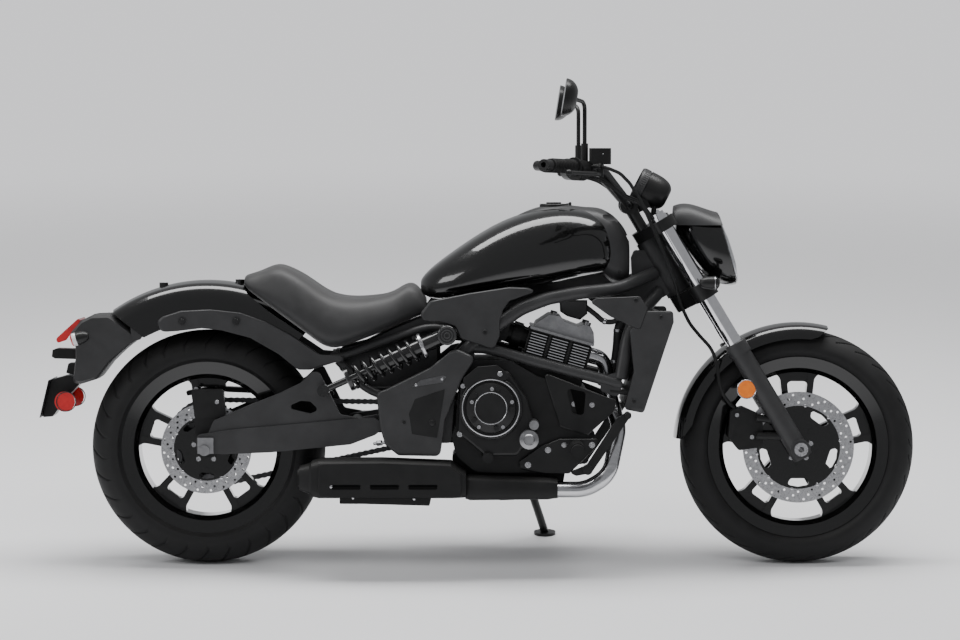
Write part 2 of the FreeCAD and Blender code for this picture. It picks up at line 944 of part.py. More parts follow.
def steering_room():
    """What the clamps and the handlebar's middle sweep as the fork turns, with the gap around it."""
    room = steering_gap + skin / 2
    low = clamp_plate(lower_clamp_at, lower_clamp_thick, -stem_boss_radius, room)
    high = clamp_plate(upper_clamp_at, upper_clamp_thick, -stem_boss_radius, room)
    right, other = bar_points(-1), bar_points(1)
    bar = pipe(list(reversed(right[:-1])) + other[1:-1], bar_radius + room, bar_bend)
    centre = steer(bar_clamp_at, bar_clamp_n)
    caps = disc(centre, riser_cap_radius + room, -riser_half_spacing - riser_cap_half - room,
                riser_half_spacing + riser_cap_half + room)
    risers = [rod(steer(upper_clamp_at, bar_clamp_n, side * riser_half_spacing),
                  centre + V(0, side * riser_half_spacing, 0), riser_radius + room) for side in (-1, 1)]
    swept = []
    for i in range(steering_steps + 1):
        angle = steering_turn_deg * (2 * i / steering_steps - 1)
        for body in [low, high, bar, caps] + risers:
            swept.append(turned_about(body, steer(0, 0), steer_up, angle))
    return swept


def handlebar():
    right, other = bar_points(-1), bar_points(1)
    return pipe(list(reversed(right)) + other[1:], bar_radius, bar_bend)


def grip_frame(side):
    """The bar's end and the directions along the grip, ahead of it and above it."""
    points = bar_points(side)
    end = points[-1]
    along = points[-2] - end
    along.normalize()
    ahead = V(abs(along.y), along.x * side, 0)
    ahead.normalize()
    up = along.cross(ahead) * (1 if along.cross(ahead).z > 0 else -1)
    return end, along, ahead, up


def grips():
    pieces = []
    for side in (-1, 1):
        end, along, ahead, up = grip_frame(side)
        core = rod(end + along * bar_end_length * -1, end + along * grip_length, bar_radius)
        grip = rod(end, end + along * grip_length, grip_radius)
        flange = rod(end + along * (grip_length - grip_flange), end + along * grip_length, grip_flange_radius)
        pieces.append(fused([grip, flange]).cut(core))
    return pieces


def bar_ends():
    pieces = []
    for side in (-1, 1):
        end, along, ahead, up = grip_frame(side)
        weight = rod(end - along * bar_end_length, end, bar_end_radius)
        hole = rod(end - along * (bar_end_length + overrun), end - along * (bar_end_length / 2), bar_end_radius / 2)
        pieces.append(weight.cut(hole))
    return pieces


def control_start(side):
    """Where the switch housing begins on the bar, seen from the bar's end."""
    end, along, ahead, up = grip_frame(side)
    return end + along * (grip_length + part_gap)


def bar_control(side):
    """The switch housing, the lever on its perch, and on the right the brake's reservoir."""
    end, along, ahead, up = grip_frame(-1)
    start = control_start(-1)
    housing = rod(start - up * switch_drop, start - up * switch_drop + along * switch_length, switch_radius)
    perch_start = start + along * (switch_length - part_gap)
    perch = rod(perch_start, perch_start + along * perch_length, perch_radius)
    middle = perch_start + along * (perch_length / 2)
    reach_arm = rod(middle, middle + ahead * lever_reach, perch_length * 0.45)
    control = fused([housing, perch, reach_arm, lever(-1)]).cut(handlebar())
    if side < 0:
        box = Part.makeBox(reservoir_length, reservoir_width, reservoir_height)
        box = box.makeFillet(reservoir_corner, [e for e in box.Edges if e.BoundBox.ZLength > reservoir_corner])
        box.translate(middle + V(mirror_sleeve_radius + skin, -reservoir_width / 2, perch_length * 0.3))
        control = control.fuse(box.cut(handlebar()))
    return control if side < 0 else mirrored(control)


def bar_controls():
    return bar_ends() + [bar_control(side) for side in (-1, 1)]


def lever_points(side):
    """The lever's line from its pivot on the perch to its ball end."""
    end, along, ahead, up = grip_frame(side)
    perch = control_start(side) + along * (switch_length - part_gap + perch_length / 2)
    pivot = perch + ahead * (lever_reach - lever_radius) - up * (perch_length / 2 + lever_radius + part_gap)
    elbow = pivot - along * (lever_length * 0.28) + ahead * (lever_radius * 1.4)
    tip = pivot - along * lever_length - ahead * (lever_radius * 0.6)
    return [pivot, elbow, tip]


def lever(side):
    """The brake or clutch lever: a bent blade on its pivot, with a ball at its end."""
    points = lever_points(side)
    blade = pipe(points, lever_radius, lever_bend)
    pivot = rod(points[0] - V(0, 0, lever_radius), points[0] + V(0, 0, perch_length), lever_ball)
    return fused([blade, Part.makeSphere(lever_ball, points[-1]), pivot])


# Mirrors


def mirror_places(side):
    """The foot and top of a mirror's stem, and the back of its head."""
    end, along, ahead, up = grip_frame(side)
    perch = control_start(side) + along * (switch_length - part_gap + perch_length / 2)
    foot = perch + V(0, 0, perch_radius * 0.9)
    top = foot + V(0, 0, mirror_stem_height)
    head = top + V(-mirror_arm_back, side * mirror_out, mirror_arm_rise)
    return foot, top, head


def mirror_shell(side, inset, depth_share):
    """The mirror's bowl: an oval face that looks back and closes to a small oval in front."""
    foot, top, head = mirror_places(side)
    tilt = math.radians(mirror_tilt_deg)
    back = V(-math.cos(tilt), 0, math.sin(tilt))
    rise = V(math.sin(tilt), 0, math.cos(tilt))
    wires = []
    for reach, size in ((0.0, 0.42), (0.3, 0.8), (0.7, 0.97), (1.0, 1.0)):
        centre = head + back * (mirror_depth * reach * depth_share)
        half_y = (mirror_half_width - inset) * size
        half_z = (mirror_half_height - inset) * size
        points = []
        for i in range(12):
            angle = 2 * math.pi * i / 12
            c, s = math.cos(angle), math.sin(angle)
            y = math.copysign(abs(c) ** 0.75, c) * half_y
            z = math.copysign(abs(s) ** 0.75, s) * half_z
            points.append(centre + V(0, y, 0) + rise * z)
        wires.append(smooth_wire(points))
    return loft(wires), head, back, rise


def mirrors():
    pieces = []
    for side in (-1, 1):
        foot, top, head = mirror_places(side)
        shell, head, back, rise = mirror_shell(side, 0.0, 1.0)
        glass = mirror_glass_solid(side, part_gap * 0)
        stem = pipe([foot, top, head + back * (mirror_depth * 0.2)], mirror_stem_radius, mirror_arm_back)
        sleeve = rod(foot, foot + V(0, 0, mirror_sleeve_height), mirror_sleeve_radius)
        pieces.append(cut(fused([shell, stem, sleeve]), [glass, bar_control(side)]))
    return pieces


def mirror_glass_solid(side, gap):
    """The glass, let into the shell's face."""
    shell, head, back, rise = mirror_shell(side, mirror_face_margin, 1.0)
    face = head + back * mirror_depth
    slab = Part.makeBox(mirror_glass_thick, mirror_half_width * 4, mirror_half_height * 4)
    slab.translate(V(0, -mirror_half_width * 2, -mirror_half_height * 2))
    slab.rotate(origin, left, mirror_tilt_deg)
    slab.translate(face)
    return shell.common(slab)


def mirror_glass():
    return [mirror_glass_solid(side, 0.0) for side in (-1, 1)]


def dial_directions():
    tilt = math.radians(dial_tilt_deg)
    face = V(-math.cos(tilt), 0, math.sin(tilt))
    rise = V(math.sin(tilt), 0, math.cos(tilt))
    return face, rise


def instrument():
    """The round dial in its bowl, the small display under it, and the stay that carries them."""
    face, rise = dial_directions()
    centre = steer(dial_at, dial_n)
    wires = []
    for reach, size in ((-1.0, 0.5), (-0.86, 0.78), (-0.5, 0.97), (0.0, 1.0)):
        middle = centre + face * (dial_depth * reach)
        wires.append(Part.Wire([Part.makeCircle(dial_radius * size, middle, face)]))
    bowl = loft(wires)
    ring = Part.makeCylinder(dial_radius * 0.94, dial_ring_depth, centre, face)
    recess = Part.makeCylinder(dial_radius * 0.94 - dial_rim, dial_rim, centre + face * (dial_ring_depth - dial_rim), face)
    display = Part.makeBox(dial_depth * 0.5, dial_radius * 1.5, dial_radius * 0.8)
    display = display.makeFillet(reservoir_corner, display.Edges[:1])
    display.translate(V(-dial_depth * 0.5, -dial_radius * 0.75, -dial_radius * 1.5))
    display.rotate(origin, left, -dial_tilt_deg)
    display.translate(centre + face * (dial_ring_depth * 0.8))
    stays = [rod(steer(upper_clamp_at + upper_clamp_thick / 2, leg_n * 0.6, s * dial_stay_spacing),
                 centre - face * (dial_depth * 0.5) + V(0, s * dial_stay_spacing, 0), dial_stay_radius)
             for s in (-1, 1)]
    return cut(fused([bowl, ring.cut(recess), display] + stays), triple_clamps())


headlight_side_shares = (
    # share of the length, low and high share of the height, share of the half width
    (0.00, 0.64, 0.92, 0.40),
    (0.14, 0.48, 0.965, 0.66),
    (0.30, 0.27, 0.97, 0.84),
    (0.45, 0.10, 0.96, 0.93),
    (0.62, 0.00, 0.945, 0.985),
    (0.80, 0.00, 0.92, 1.00),
)
headlight_ring_count = 16
headlight_lean_share = 0.36


def headlight_ring(share_x, low, high, wide, inset):
    """One upright ring of the lamp's shell; the rings lean back towards the front face."""
    low_z = headlight_z + headlight_height * low + inset
    high_z = headlight_z + headlight_height * high - inset
    half = headlight_half_width * wide - inset
    points = []
    for i in range(headlight_ring_count):
        angle = 2 * math.pi * (i + 0.5) / headlight_ring_count
        c, s = math.cos(angle), math.sin(angle)
        up = math.copysign(abs(s) ** 0.8, s)
        side = math.copysign(abs(c) ** 0.7, c) * (1 + 0.08 * up)
        z = (low_z + high_z) / 2 + up * (high_z - low_z) / 2
        lean_back = headlight_lean_share * share_x * (z - headlight_z - headlight_height / 2)
        points.append(V(headlight_x + headlight_length * (share_x + 0.12) - lean_back, side * half, z))
    return smooth_wire(points)


def headlight_shell():
    """The lamp's bowl with its visor, hollow behind the lens, and the stay to the clamps."""
    outer = loft([headlight_ring(*row, 0.0) for row in headlight_side_shares])
    front = headlight_side_shares[-1]
    hollow = headlight_side_shares[1:] + ((front[0] + 0.1,) + front[1:],)
    inner = loft([headlight_ring(*row, headlight_wall) for row in hollow])
    stays = [rod(steer(lower_clamp_at, leg_n + clamp_wall, s * fork_half_spacing * 0.6),
                 V(headlight_x + headlight_length * 0.34, s * fork_half_spacing * 0.6,
                   headlight_z + headlight_height * 0.35), headlight_stay) for s in (-1, 1)]
    shell = outer.cut(inner)
    stays = [s.cut(inner).cut(clamp_plate(lower_clamp_at, lower_clamp_thick, -stem_boss_radius)) for s in stays]
    return fused([shell] + stays)


def headlight_visor():
    """The thin cowl over the top of the lamp."""
    wires = []
    for share_x, low, high, wide in ((-0.04, 0.3, 1.03, 0.62), (0.2, 0.2, 1.06, 0.8), (0.45, 0.1, 1.03, 0.93), (0.84, 0.0, 0.945, 1.0)):
        wires.append((share_x, low, high, wide))
    outer = loft([headlight_ring(x, low, high + visor_lift / headlight_height, wide * 1.03, 0.0)
                  for x, low, high, wide in wires])
    keep = Part.makeBox(headlight_length * 1.6, headlight_half_width * 3, headlight_height)
    keep.translate(V(headlight_x - headlight_length * 0.2, -headlight_half_width * 1.5,
                     headlight_z + headlight_height * 0.8))
    body = loft([headlight_ring(*row, 0.0) for row in headlight_side_shares])
    return cut(outer.common(keep), [body, headlight_lens()])


def headlight_lens():
    """The lamp's clear front, crowned and let into the shell."""
    front = headlight_side_shares[-1]
    rows = [(front[0] + 0.001, 0.0), (front[0] + 0.025, lens_inset * 0.6), (front[0] + 0.055, lens_inset * 2.2),
            (front[0] + 0.08, lens_inset * 4.5)]
    return loft([headlight_ring(x, front[1], front[2], front[3], headlight_wall / 2 + inset) for x, inset in rows])


def front_mudguard():
    """The guard over the front tyre, with a skirt on each side and its arms to the fork."""
    outer = front_tyre_radius + front_guard_gap
    shells = []
    for inset in (0.0, front_guard_thick):
        half, top = front_guard_half - inset, outer - inset
        foot = V(front_axle.x, half, front_axle.z + outer - front_guard_skirt - inset * 2)
        shoulder = V(front_axle.x, half, front_axle.z + top - front_guard_shoulder)
        middle = V(front_axle.x, half * 0.86, front_axle.z + top - front_guard_shoulder * 0.38)
        crown = V(front_axle.x, half * 0.6, front_axle.z + top - front_guard_shoulder * 0.14)
        peak = V(front_axle.x, 0, front_axle.z + top)
        mirror = [V(p.x, -p.y, p.z) for p in (foot, shoulder, middle, crown)]
        edges = [
            Part.LineSegment(foot, shoulder).toShape(),
            Part.Arc(shoulder, middle, crown).toShape(),
            Part.Arc(crown, peak, mirror[3]).toShape(),
            Part.Arc(mirror[3], mirror[2], mirror[1]).toShape(),
            Part.LineSegment(mirror[1], mirror[0]).toShape(),
            Part.LineSegment(mirror[0], foot).toShape(),
        ]
        face = Part.Face(Part.Wire(edges))
        shells.append(turned_copy(face, front_axle, front_guard_start_deg).revolve(
            front_axle, left, front_guard_sweep_deg))
    guard = shells[0].cut(shells[1])
    keep = [polar(front_axle, outer * share, angle) for share, angle in front_guard_edge_shares]
    rim = [polar(front_axle, outer * 1.3, angle) for angle in (40.0, 0.0, -40.0, -80.0, -110.0)]
    guard = guard.common(plate(keep + rim, -front_guard_half * 2, front_guard_half * 2, slot_corner))
    return guard


front_guard_start_deg = -86.0
front_guard_sweep_deg = 100.0
front_guard_shoulder = 34.0
front_guard_edge_shares = ((0.95, -87.0), (0.84, -72.0), (0.805, -58.0), (0.805, -30.0), (0.85, 2.0), (0.9, 10.0), (1.0, 15.0))


def indicator(place, facing, stalk_root):
    """One direction indicator: a bullet with its lens at one end, and the stalk that holds it."""
    back = place - facing * indicator_length
    profile = ((0.0, 0.45), (0.25, 0.85), (0.6, 1.0), (1.0, 1.0))
    wires = [Part.Wire([Part.makeCircle(indicator_radius * size, back + facing * (indicator_length * reach), facing)])
             for reach, size in profile]
    bullet = loft(wires)
    lens = Part.makeSphere(indicator_radius * 1.25, place - facing * (indicator_radius * 0.75))
    shield = Part.makeCylinder(indicator_radius, indicator_lens, place, facing)
    stalk = rod(stalk_root, back + facing * (indicator_length * 0.5), indicator_stalk_radius)
    return fused([bullet, lens.common(shield), stalk])


def front_lamps():
    """The two front indicators on the lower clamp, and the two round side reflectors on the fork."""
    pieces = []
    for side in (-1, 1):
        root = steer(lower_clamp_at, leg_n + fork_tube_radius + clamp_wall * 0.3, side * fork_half_spacing)
        place = V(root.x + fork_tube_radius * 0.25, side * front_indicator_half, root.z + fork_tube_radius * 0.5)
        lamp = indicator(place, V(1, 0, 0), V(root.x, side * (fork_half_spacing + fork_tube_radius * 0.5), root.z))
        clamp = clamp_plate(lower_clamp_at, lower_clamp_thick, -stem_boss_radius)
        tube = rod(steer(lower_clamp_at - fork_tube_dip, leg_n, side * fork_half_spacing),
                   steer(lower_clamp_at + fork_tube_dip, leg_n, side * fork_half_spacing), fork_tube_radius)
        pieces.append(cut(lamp, [clamp, tube]))
        middle = steer(front_reflector_t, leg_n + front_reflector_n, side * fork_half_spacing)
        y = side * (fork_half_spacing + fork_lower_radius * 0.5)
        low_y, high_y = min(y, y + side * reflector_thick), max(y, y + side * reflector_thick)
        round_one = disc(middle, front_reflector_radius, low_y, high_y)
        foot = steer(front_reflector_t, leg_n, side * fork_half_spacing)
        arm = rod(foot, V(middle.x, y, middle.z), indicator_stalk_radius)
        leg = rod(steer(0, leg_n, side * fork_half_spacing), steer(fork_lower_top, leg_n, side * fork_half_spacing),
                  fork_lower_radius)
        pieces.append(fused([round_one, arm]).cut(leg))
    return pieces


front_caliper_shares = (
    (0.00, 0.30), (0.30, 0.00), (1.00, 0.08), (1.00, 0.62), (0.86, 0.84), (0.42, 1.00), (0.06, 0.92),
)
front_caliper_x = 1386.0
front_caliper_length = 92.0
front_caliper_z = 306.0
front_caliper_height = 116.0
caliper_corner = 10.0


def front_caliper():
    """The two-piston caliper behind the right fork leg, open along the disc, with its two lugs."""
    points = sized(front_caliper_shares, front_caliper_x, front_caliper_z, front_caliper_length, front_caliper_height)
    body = plate(points, -front_disc_y - caliper_half, -front_disc_y + caliper_half, caliper_corner)
    slot = disc(front_axle, front_disc_radius + wheel_gap, -front_disc_y - caliper_slot / 2,
                -front_disc_y + caliper_slot / 2)
    wheel_room = disc(front_axle, front_rim_radius, -front_rim_width / 2 - wheel_gap, 0)
    wheel_room = wheel_room.cut(disc(front_axle, front_rim_inner - wheel_gap, -front_rim_width, 0))
    y = -fork_half_spacing
    lugs = []
    for t in (40.0, 88.0):
        foot = steer(t, leg_n, y)
        reach = V(front_caliper_x + front_caliper_length * 0.8, y, front_caliper_z + t)
        lugs.append(rod(foot, reach, caliper_corner))
    leg = rod(steer(-fork_lower_bottom, leg_n, y), steer(fork_lower_top, leg_n, y), fork_lower_radius)
    return cut(fused([body] + lugs), [slot, wheel_room, leg])


def front_brake_hose():
    """The brake hose from the reservoir past the lower clamp to the caliper."""
    end, along, ahead, up = grip_frame(-1)
    perch = control_start(-1) + along * (switch_length - part_gap + perch_length / 2)
    start = perch + ahead * lever_reach
    points = [start] + [V(*place) for place in hose_route]
    return cut(pipe(points, hose_radius, hose_bend), [bar_control(-1), front_caliper()])


hose_bend = 90.0
hose_route = (
    (1052.0, -330.0, 1056.0), (1088.0, -292.0, 1042.0), (1116.0, -240.0, 1016.0), (1142.0, -192.0, 978.0),
    (1164.0, -162.0, 936.0), (1184.0, -148.0, 892.0), (1205.0, -147.0, 843.0), (1226.0, -142.0, 790.0),
    (1244.0, -118.0, 745.0), (1254.0, -74.0, 712.0), (1265.0, -60.0, 682.0), (1284.0, -64.0, 642.0),
    (1312.0, -82.0, 608.0), (1340.0, -106.0, 578.0), (1354.0, -118.0, 536.0), (1358.0, -118.0, 494.0), (1370.0, -110.0, 455.0),
    (1392.0, -92.0, 428.0), (1406.0, -80.0, 416.0),
)


tank_shares = (
    # share of the length, low and high share of the height, share of the half width
    (0.005, 0.10, 0.20, 0.22),
    (0.045, 0.02, 0.31, 0.50),
    (0.15, 0.00, 0.49, 0.76),
    (0.345, 0.06, 0.765, 0.95),
    (0.54, 0.125, 0.935, 1.00),
    (0.72, 0.20, 0.985, 0.96),
    (0.86, 0.26, 0.93, 0.82),
    (0.93, 0.30, 0.85, 0.64),
    (0.975, 0.38, 0.74, 0.42),
)
trim_shares = (
    (0.40, 0.66, 0.80, 0.24),
    (0.55, 0.74, 0.965, 0.34),
    (0.70, 0.70, 1.012, 0.42),
    (0.82, 0.50, 0.985, 0.52),
    (0.92, 0.22, 0.935, 0.64),
    (0.98, 0.18, 0.83, 0.58),
    (1.03, 0.30, 0.56, 0.28),
)
ring_count = 16


def ring(x, low, high, half, side_power=0.62, top_power=0.75, taper=0.10, y=0.0):
    """One upright section: a rounded ring in the plane of y and z, wider low down by the taper."""
    points = []
    for i in range(ring_count):
        angle = 2 * math.pi * (i + 0.5) / ring_count
        c, s = math.cos(angle), math.sin(angle)
        up = math.copysign(abs(s) ** top_power, s)
        side = math.copysign(abs(c) ** side_power, c) * (1 - taper * up)
        points.append(V(x, y + side * half, (low + high) / 2 + up * (high - low) / 2))
    return smooth_wire(points)


def hull(rows, x, length, z, height, half, inset=0.0, **form):
    """A smooth body through upright rings given as shares of its length, height and half width."""
    wires = []
    for share_x, low, high, wide in rows:
        wires.append(ring(x + length * share_x, z + height * low + inset, z + height * high - inset,
                          half * wide - inset, **form))
    return loft(wires)


def tank_body():
    return hull(tank_shares, tank_x, tank_length, tank_z, tank_height, tank_half, taper=0.16)


def fuel_tank():
    """The tank, with the filler's well and room for the fork to turn and for the frame's tubes."""
    well = tank_body().cut(cap_room(cap_radius + cap_gap))
    return cleared(well, steering_room() + [parts["main_frame"], parts["intake"]])


def tank_trim():
    """The cover over the tank's spine that wraps round its nose, with the cap's well and hinge ears."""
    cover = hull(trim_shares, tank_x, tank_length, tank_z, tank_height, tank_half, side_power=0.5)
    cover = cut(cover, [tank_body(), cap_room(cap_radius + cap_gap)])
    ears = []
    for side in (-1, 1):
        y = sorted((side * (cap_knuckle_half + part_gap / 2), side * (cap_knuckle_half + part_gap / 2 + cap_ear)))
        ear = disc(cap_hinge, cap_knuckle_radius, y[0], y[1])
        foot = Part.makeBox(cap_knuckle_radius * 2, cap_ear, cap_height * 2,
                            V(cap_hinge.x - cap_knuckle_radius, y[0], cap_hinge.z - cap_height * 2))
        ears += [ear, foot]
    pin = disc(cap_hinge, cap_pin_radius, -cap_knuckle_half - cap_ear, cap_knuckle_half + cap_ear)
    relief = Part.makeBox(cap_hinge.x - cap_x + cap_knuckle_radius + part_gap, cap_knuckle_half * 2 + part_gap, tank_height,
                          V(cap_x, -cap_knuckle_half - part_gap / 2, cap_hinge.z - cap_knuckle_radius - part_gap))
    cover = cleared(cut(cover, [relief]), steering_room() + [parts["main_frame"]])
    return cut(fused([cover] + ears + [pin]), [tank_body()])


def cap_room(radius):
    return Part.makeCylinder(radius, tank_height, V(cap_x, 0, cap_z))


def fuel_cap():
    """The filler cap: a domed lid with a grip bar and its hinge knuckle at the front."""
    lid = Part.makeCylinder(cap_radius, cap_height, V(cap_x, 0, cap_z + seat_gap))
    rim = [e for e in lid.Edges if e.BoundBox.ZMin > cap_z + cap_height / 2 and e.BoundBox.ZLength < part_gap]
    lid = lid.makeFillet(cap_height * 0.3, rim)
    knuckle = disc(cap_hinge, cap_knuckle_radius, -cap_knuckle_half, cap_knuckle_half)
    bridge = Part.makeBox(cap_knuckle_radius * 3, cap_knuckle_half * 2, cap_knuckle_radius,
                          V(cap_hinge.x - cap_knuckle_radius * 3, -cap_knuckle_half, cap_hinge.z - cap_knuckle_radius))
    bridge = bridge.fuse(Part.makeBox(cap_knuckle_radius * 2, cap_knuckle_half * 2, cap_knuckle_radius,
                                      V(cap_x + cap_radius - cap_knuckle_radius * 2, -cap_knuckle_half, cap_hinge.z - cap_knuckle_radius * 1.6)))
    keyhole = Part.makeCylinder(key_boss_radius, cap_height * 0.4, V(cap_x, 0, cap_z + seat_gap + cap_height * 0.9))
    bore = disc(cap_hinge, cap_pin_radius + run_gap, -wheelbase, wheelbase)
    return fused([lid, knuckle, bridge, keyhole]).cut(bore)


cap_x = tank_x + tank_length * 0.66
cap_z = tank_z + tank_height * 0.972
cap_gap = 1.5
cap_knuckle_radius = 3.5
cap_knuckle_half = 8.0
cap_ear = 6.0
cap_pin_radius = 1.5
cap_hinge = V(cap_x + cap_radius + cap_gap + cap_knuckle_radius * 1.2, 0, cap_z + seat_gap + cap_height + part_gap)


seat_shares = (
    (0.00, 0.76, 0.83, 0.46),
    (0.025, 0.69, 0.875, 0.55),
    (0.09, 0.575, 0.92, 0.66),
    (0.19, 0.41, 0.99, 0.80),
    (0.25, 0.315, 0.955, 0.88),
    (0.36, 0.14, 0.82, 0.97),
    (0.48, 0.00, 0.655, 1.00),
    (0.60, 0.06, 0.607, 0.98),
    (0.71, 0.15, 0.62, 0.88),
    (0.82, 0.25, 0.68, 0.76),
    (0.91, 0.34, 0.765, 0.66),
    (0.955, 0.38, 0.70, 0.60),
    (0.995, 0.42, 0.58, 0.50),
)


def seat():
    return hull(seat_shares, seat_x, seat_length, seat_z, seat_height, seat_half,
                side_power=0.45, top_power=0.62, taper=0.14)


def scaled(points, share):
    """The points drawn in towards their middle by a share."""
    middle = V(0, 0, 0)
    for p in points:
        middle += p * (1 / len(points))
    return [middle + (p - middle) * share for p in points]


def moulded(points, y_inner, y_outer, radius, edge):
    """A plate whose outer rim is rounded over by the edge."""
    way = 1 if y_outer > y_inner else -1
    size = max(p.x for p in points) - min(p.x for p in points)
    wires = []
    for y, inset in ((y_inner, 0.0), (y_outer - way * edge, 0.0), (y_outer - way * edge * 0.35, edge * 0.45),
                     (y_outer, edge * 1.3)):
        flat = [V(p.x, y, p.z) for p in scaled(points, 1 - 2 * inset / size)]
        wires.append(rounded_wire(flat, radius))
    return Part.makeLoft(wires, True, True)


# Rear guard, rails and tail


def rear_mudguard():
    """The deep guard over the rear tyre, cut along the seat and at its tail."""
    outer = guard_radius
    shells = []
    for inset in (0.0, guard_thick):
        half, top = guard_half - inset, outer - inset
        drop = guard_skirt + inset * 2
        foot = V(0, half, rear_axle.z + outer - drop)
        shoulder = V(0, half, rear_axle.z + top - guard_shoulder)
        middle = V(0, half * 0.88, rear_axle.z + top - guard_shoulder * 0.36)
        crown = V(0, half * 0.66, rear_axle.z + top - guard_shoulder * 0.12)
        peak = V(0, 0, rear_axle.z + top)
        mirror = [V(p.x, -p.y, p.z) for p in (foot, shoulder, middle, crown)]
        edges = [
            Part.LineSegment(foot, shoulder).toShape(),
            Part.Arc(shoulder, middle, crown).toShape(),
            Part.Arc(crown, peak, mirror[3]).toShape(),
            Part.Arc(mirror[3], mirror[2], mirror[1]).toShape(),
            Part.LineSegment(mirror[1], mirror[0]).toShape(),
            Part.LineSegment(mirror[0], foot).toShape(),
        ]
        face = Part.Face(Part.Wire(edges))
        shells.append(turned_copy(face, rear_axle, guard_start_deg).revolve(rear_axle, left, guard_sweep_deg))
    guard = shells[0].cut(shells[1])
    clear = [V(x, 0, z) for x, z in ((93, 800), (93, 750), (111, 721), (165, 677), (245, 623), (330, 568),
                                     (360, 500), (700, 500), (700, 800))]
    tail = [V(x, 0, z) for x, z in ((-262, 688), (-244, 668), (-152, 598), (-230, 520), (-420, 520), (-420, 688))]
    half = guard_half + overrun
    return cut(guard, [plate(clear, -half, half, slot_corner), plate(tail, -half, half, slot_corner)])


guard_radius = 445.0
guard_skirt = 108.0
guard_shoulder = 52.0
guard_start_deg = -37.5
guard_sweep_deg = 78.0

rail_shares = (
    (0.00, 0.80), (0.028, 0.88), (0.124, 0.976), (0.28, 1.0), (0.44, 0.945), (0.574, 0.796), (0.706, 0.58),
    (0.864, 0.25), (0.99, 0.22), (0.99, 0.13), (0.94, 0.12), (0.812, 0.0), (0.748, 0.0), (0.65, 0.25),
    (0.494, 0.53), (0.336, 0.66), (0.23, 0.695), (0.098, 0.645), (0.02, 0.63),
)


def mudguard_rails():
    """The moulded rails that carry the guard, each with its two bolts."""
    points = sized(rail_shares, rail_x, rail_z, rail_length, rail_height)
    inner = guard_half + seat_gap
    rail = moulded(points, inner, inner + rail_thick, rail_corner, rail_edge)
    bolts = [disc(V(rail_x + rail_length * share, 0, rail_z + rail_height * high), rail_bolt_radius,
                  inner + rail_thick - rail_edge, inner + rail_thick + rail_bolt_head)
             for share, high in ((0.13, 0.81), (0.41, 0.82))]
    return both(fused([rail] + bolts))


def guard_bosses():
    """The two bosses on top of the rear guard that a rack or second seat bolts to, and their bores."""
    bosses, bores = [], []
    for x in boss_x:
        top = guard_top(x)
        bosses.append(Part.makeCylinder(boss_radius, boss_height + boss_depth, V(x, 0, top - boss_depth)))
        bores.append(Part.makeCylinder(boss_bore, boss_height + boss_depth, V(x, 0, top - boss_depth + skin)))
    return bosses, bores


def guard_with_bosses():
    """The rear guard with its bosses, clear of the seat."""
    bosses, bores = guard_bosses()
    return cut(fused([rear_mudguard()] + bosses), bores + [seat()])


def guard_top(x):
    return rear_axle_z + math.sqrt(guard_radius ** 2 - x ** 2)


tail_shares = (
    (0.515, 0.99), (0.29, 0.98), (0.155, 0.905), (0.0, 0.705), (0.08, 0.59), (0.08, 0.365), (0.04, 0.01),
    (0.155, 0.0), (0.355, 0.07), (0.505, 0.295), (0.79, 0.577), (0.955, 0.62), (0.73, 0.82),
)


def tail_cowl():
    """The moulded tail under the guard's end that carries the lamps and the plate."""
    points = sized(tail_shares, tail_x, tail_z, tail_length, tail_height)
    wires = []
    for share, size in ((-1.0, 0.90), (-0.8, 0.985), (0.0, 1.0), (0.8, 0.985), (1.0, 0.90)):
        flat = [V(p.x, tail_half * share, p.z) for p in scaled(points, size)]
        wires.append(rounded_wire(flat, rail_corner))
    body = Part.makeLoft(wires, True, True)
    room = disc(rear_axle, guard_radius - guard_skirt + wheel_gap, -tail_half * 2, tail_half * 2)
    lug = plate(sized(tail_lug_shares, tail_x, tail_z, tail_length, tail_height), tail_half - tail_lug_reach,
                guard_half - guard_thick, rail_edge)
    return fused([body.cut(room).cut(guard_envelope())] + both(lug))


tail_lug_shares = ((0.794, 0.640), (0.776, 0.799), (0.822, 0.868), (0.888, 0.847), (0.907, 0.630))
tail_lug_reach = 14.0


def guard_envelope():
    """The room that the rear guard fills."""
    return disc(rear_axle, guard_radius + seat_gap, -guard_half, guard_half).common(
        Part.makeBox(guard_length, guard_half * 2, guard_radius, V(-262.0, -guard_half, 668.0)))


def tail_light():
    """The slim tail lamp across the cowl."""
    points = [V(x, 0, z) for x, z in ((-336, 650), (-342, 656), (-402, 602), (-398, 590), (-374, 598))]
    lamp = plate(points, -tail_lamp_half, tail_lamp_half, slot_corner)
    return lamp.cut(tail_cowl())


def rear_lamps():
    """The rear indicators, the round side reflectors and the plate's lamp, joined by their bracket."""
    pieces = []
    for side in (-1, 1):
        place = V(-342.0, side * rear_indicator_half, 604.0)
        root = V(-318.0, side * (tail_half - skin), 612.0)
        pieces.append(indicator(place, V(-1, 0, -0.3), root).cut(tail_cowl()))
    bracket = plate(outline(plate_stay_points), -plate_stay_half, plate_stay_half, rail_bolt_head)
    bar = rod(V(-380, -rear_reflector_half, 437), V(-380, rear_reflector_half, 437), indicator_stalk_radius)
    lamp = plate(outline(plate_lamp_points), -plate_lamp_half, plate_lamp_half, rail_bolt_head)
    marker = plate(outline(rear_marker_points), -plate_lamp_half, plate_lamp_half, rail_bolt_head)
    pieces.append(fused([bracket, bar, licence_plate(), lamp, marker]).cut(tail_cowl()))
    return pieces


plate_stay_half = 40.0
plate_stay_points = ((-336, 499), (-352, 500), (-378, 502), (-417, 491), (-441, 391), (-414, 393), (-380, 440),
                     (-344, 478))
plate_lamp_points = ((-346, 572), (-404, 574), (-416, 570), (-418, 552), (-410, 547), (-346, 545))
rear_marker_points = ((-342, 536), (-374, 534), (-380, 508), (-344, 500))


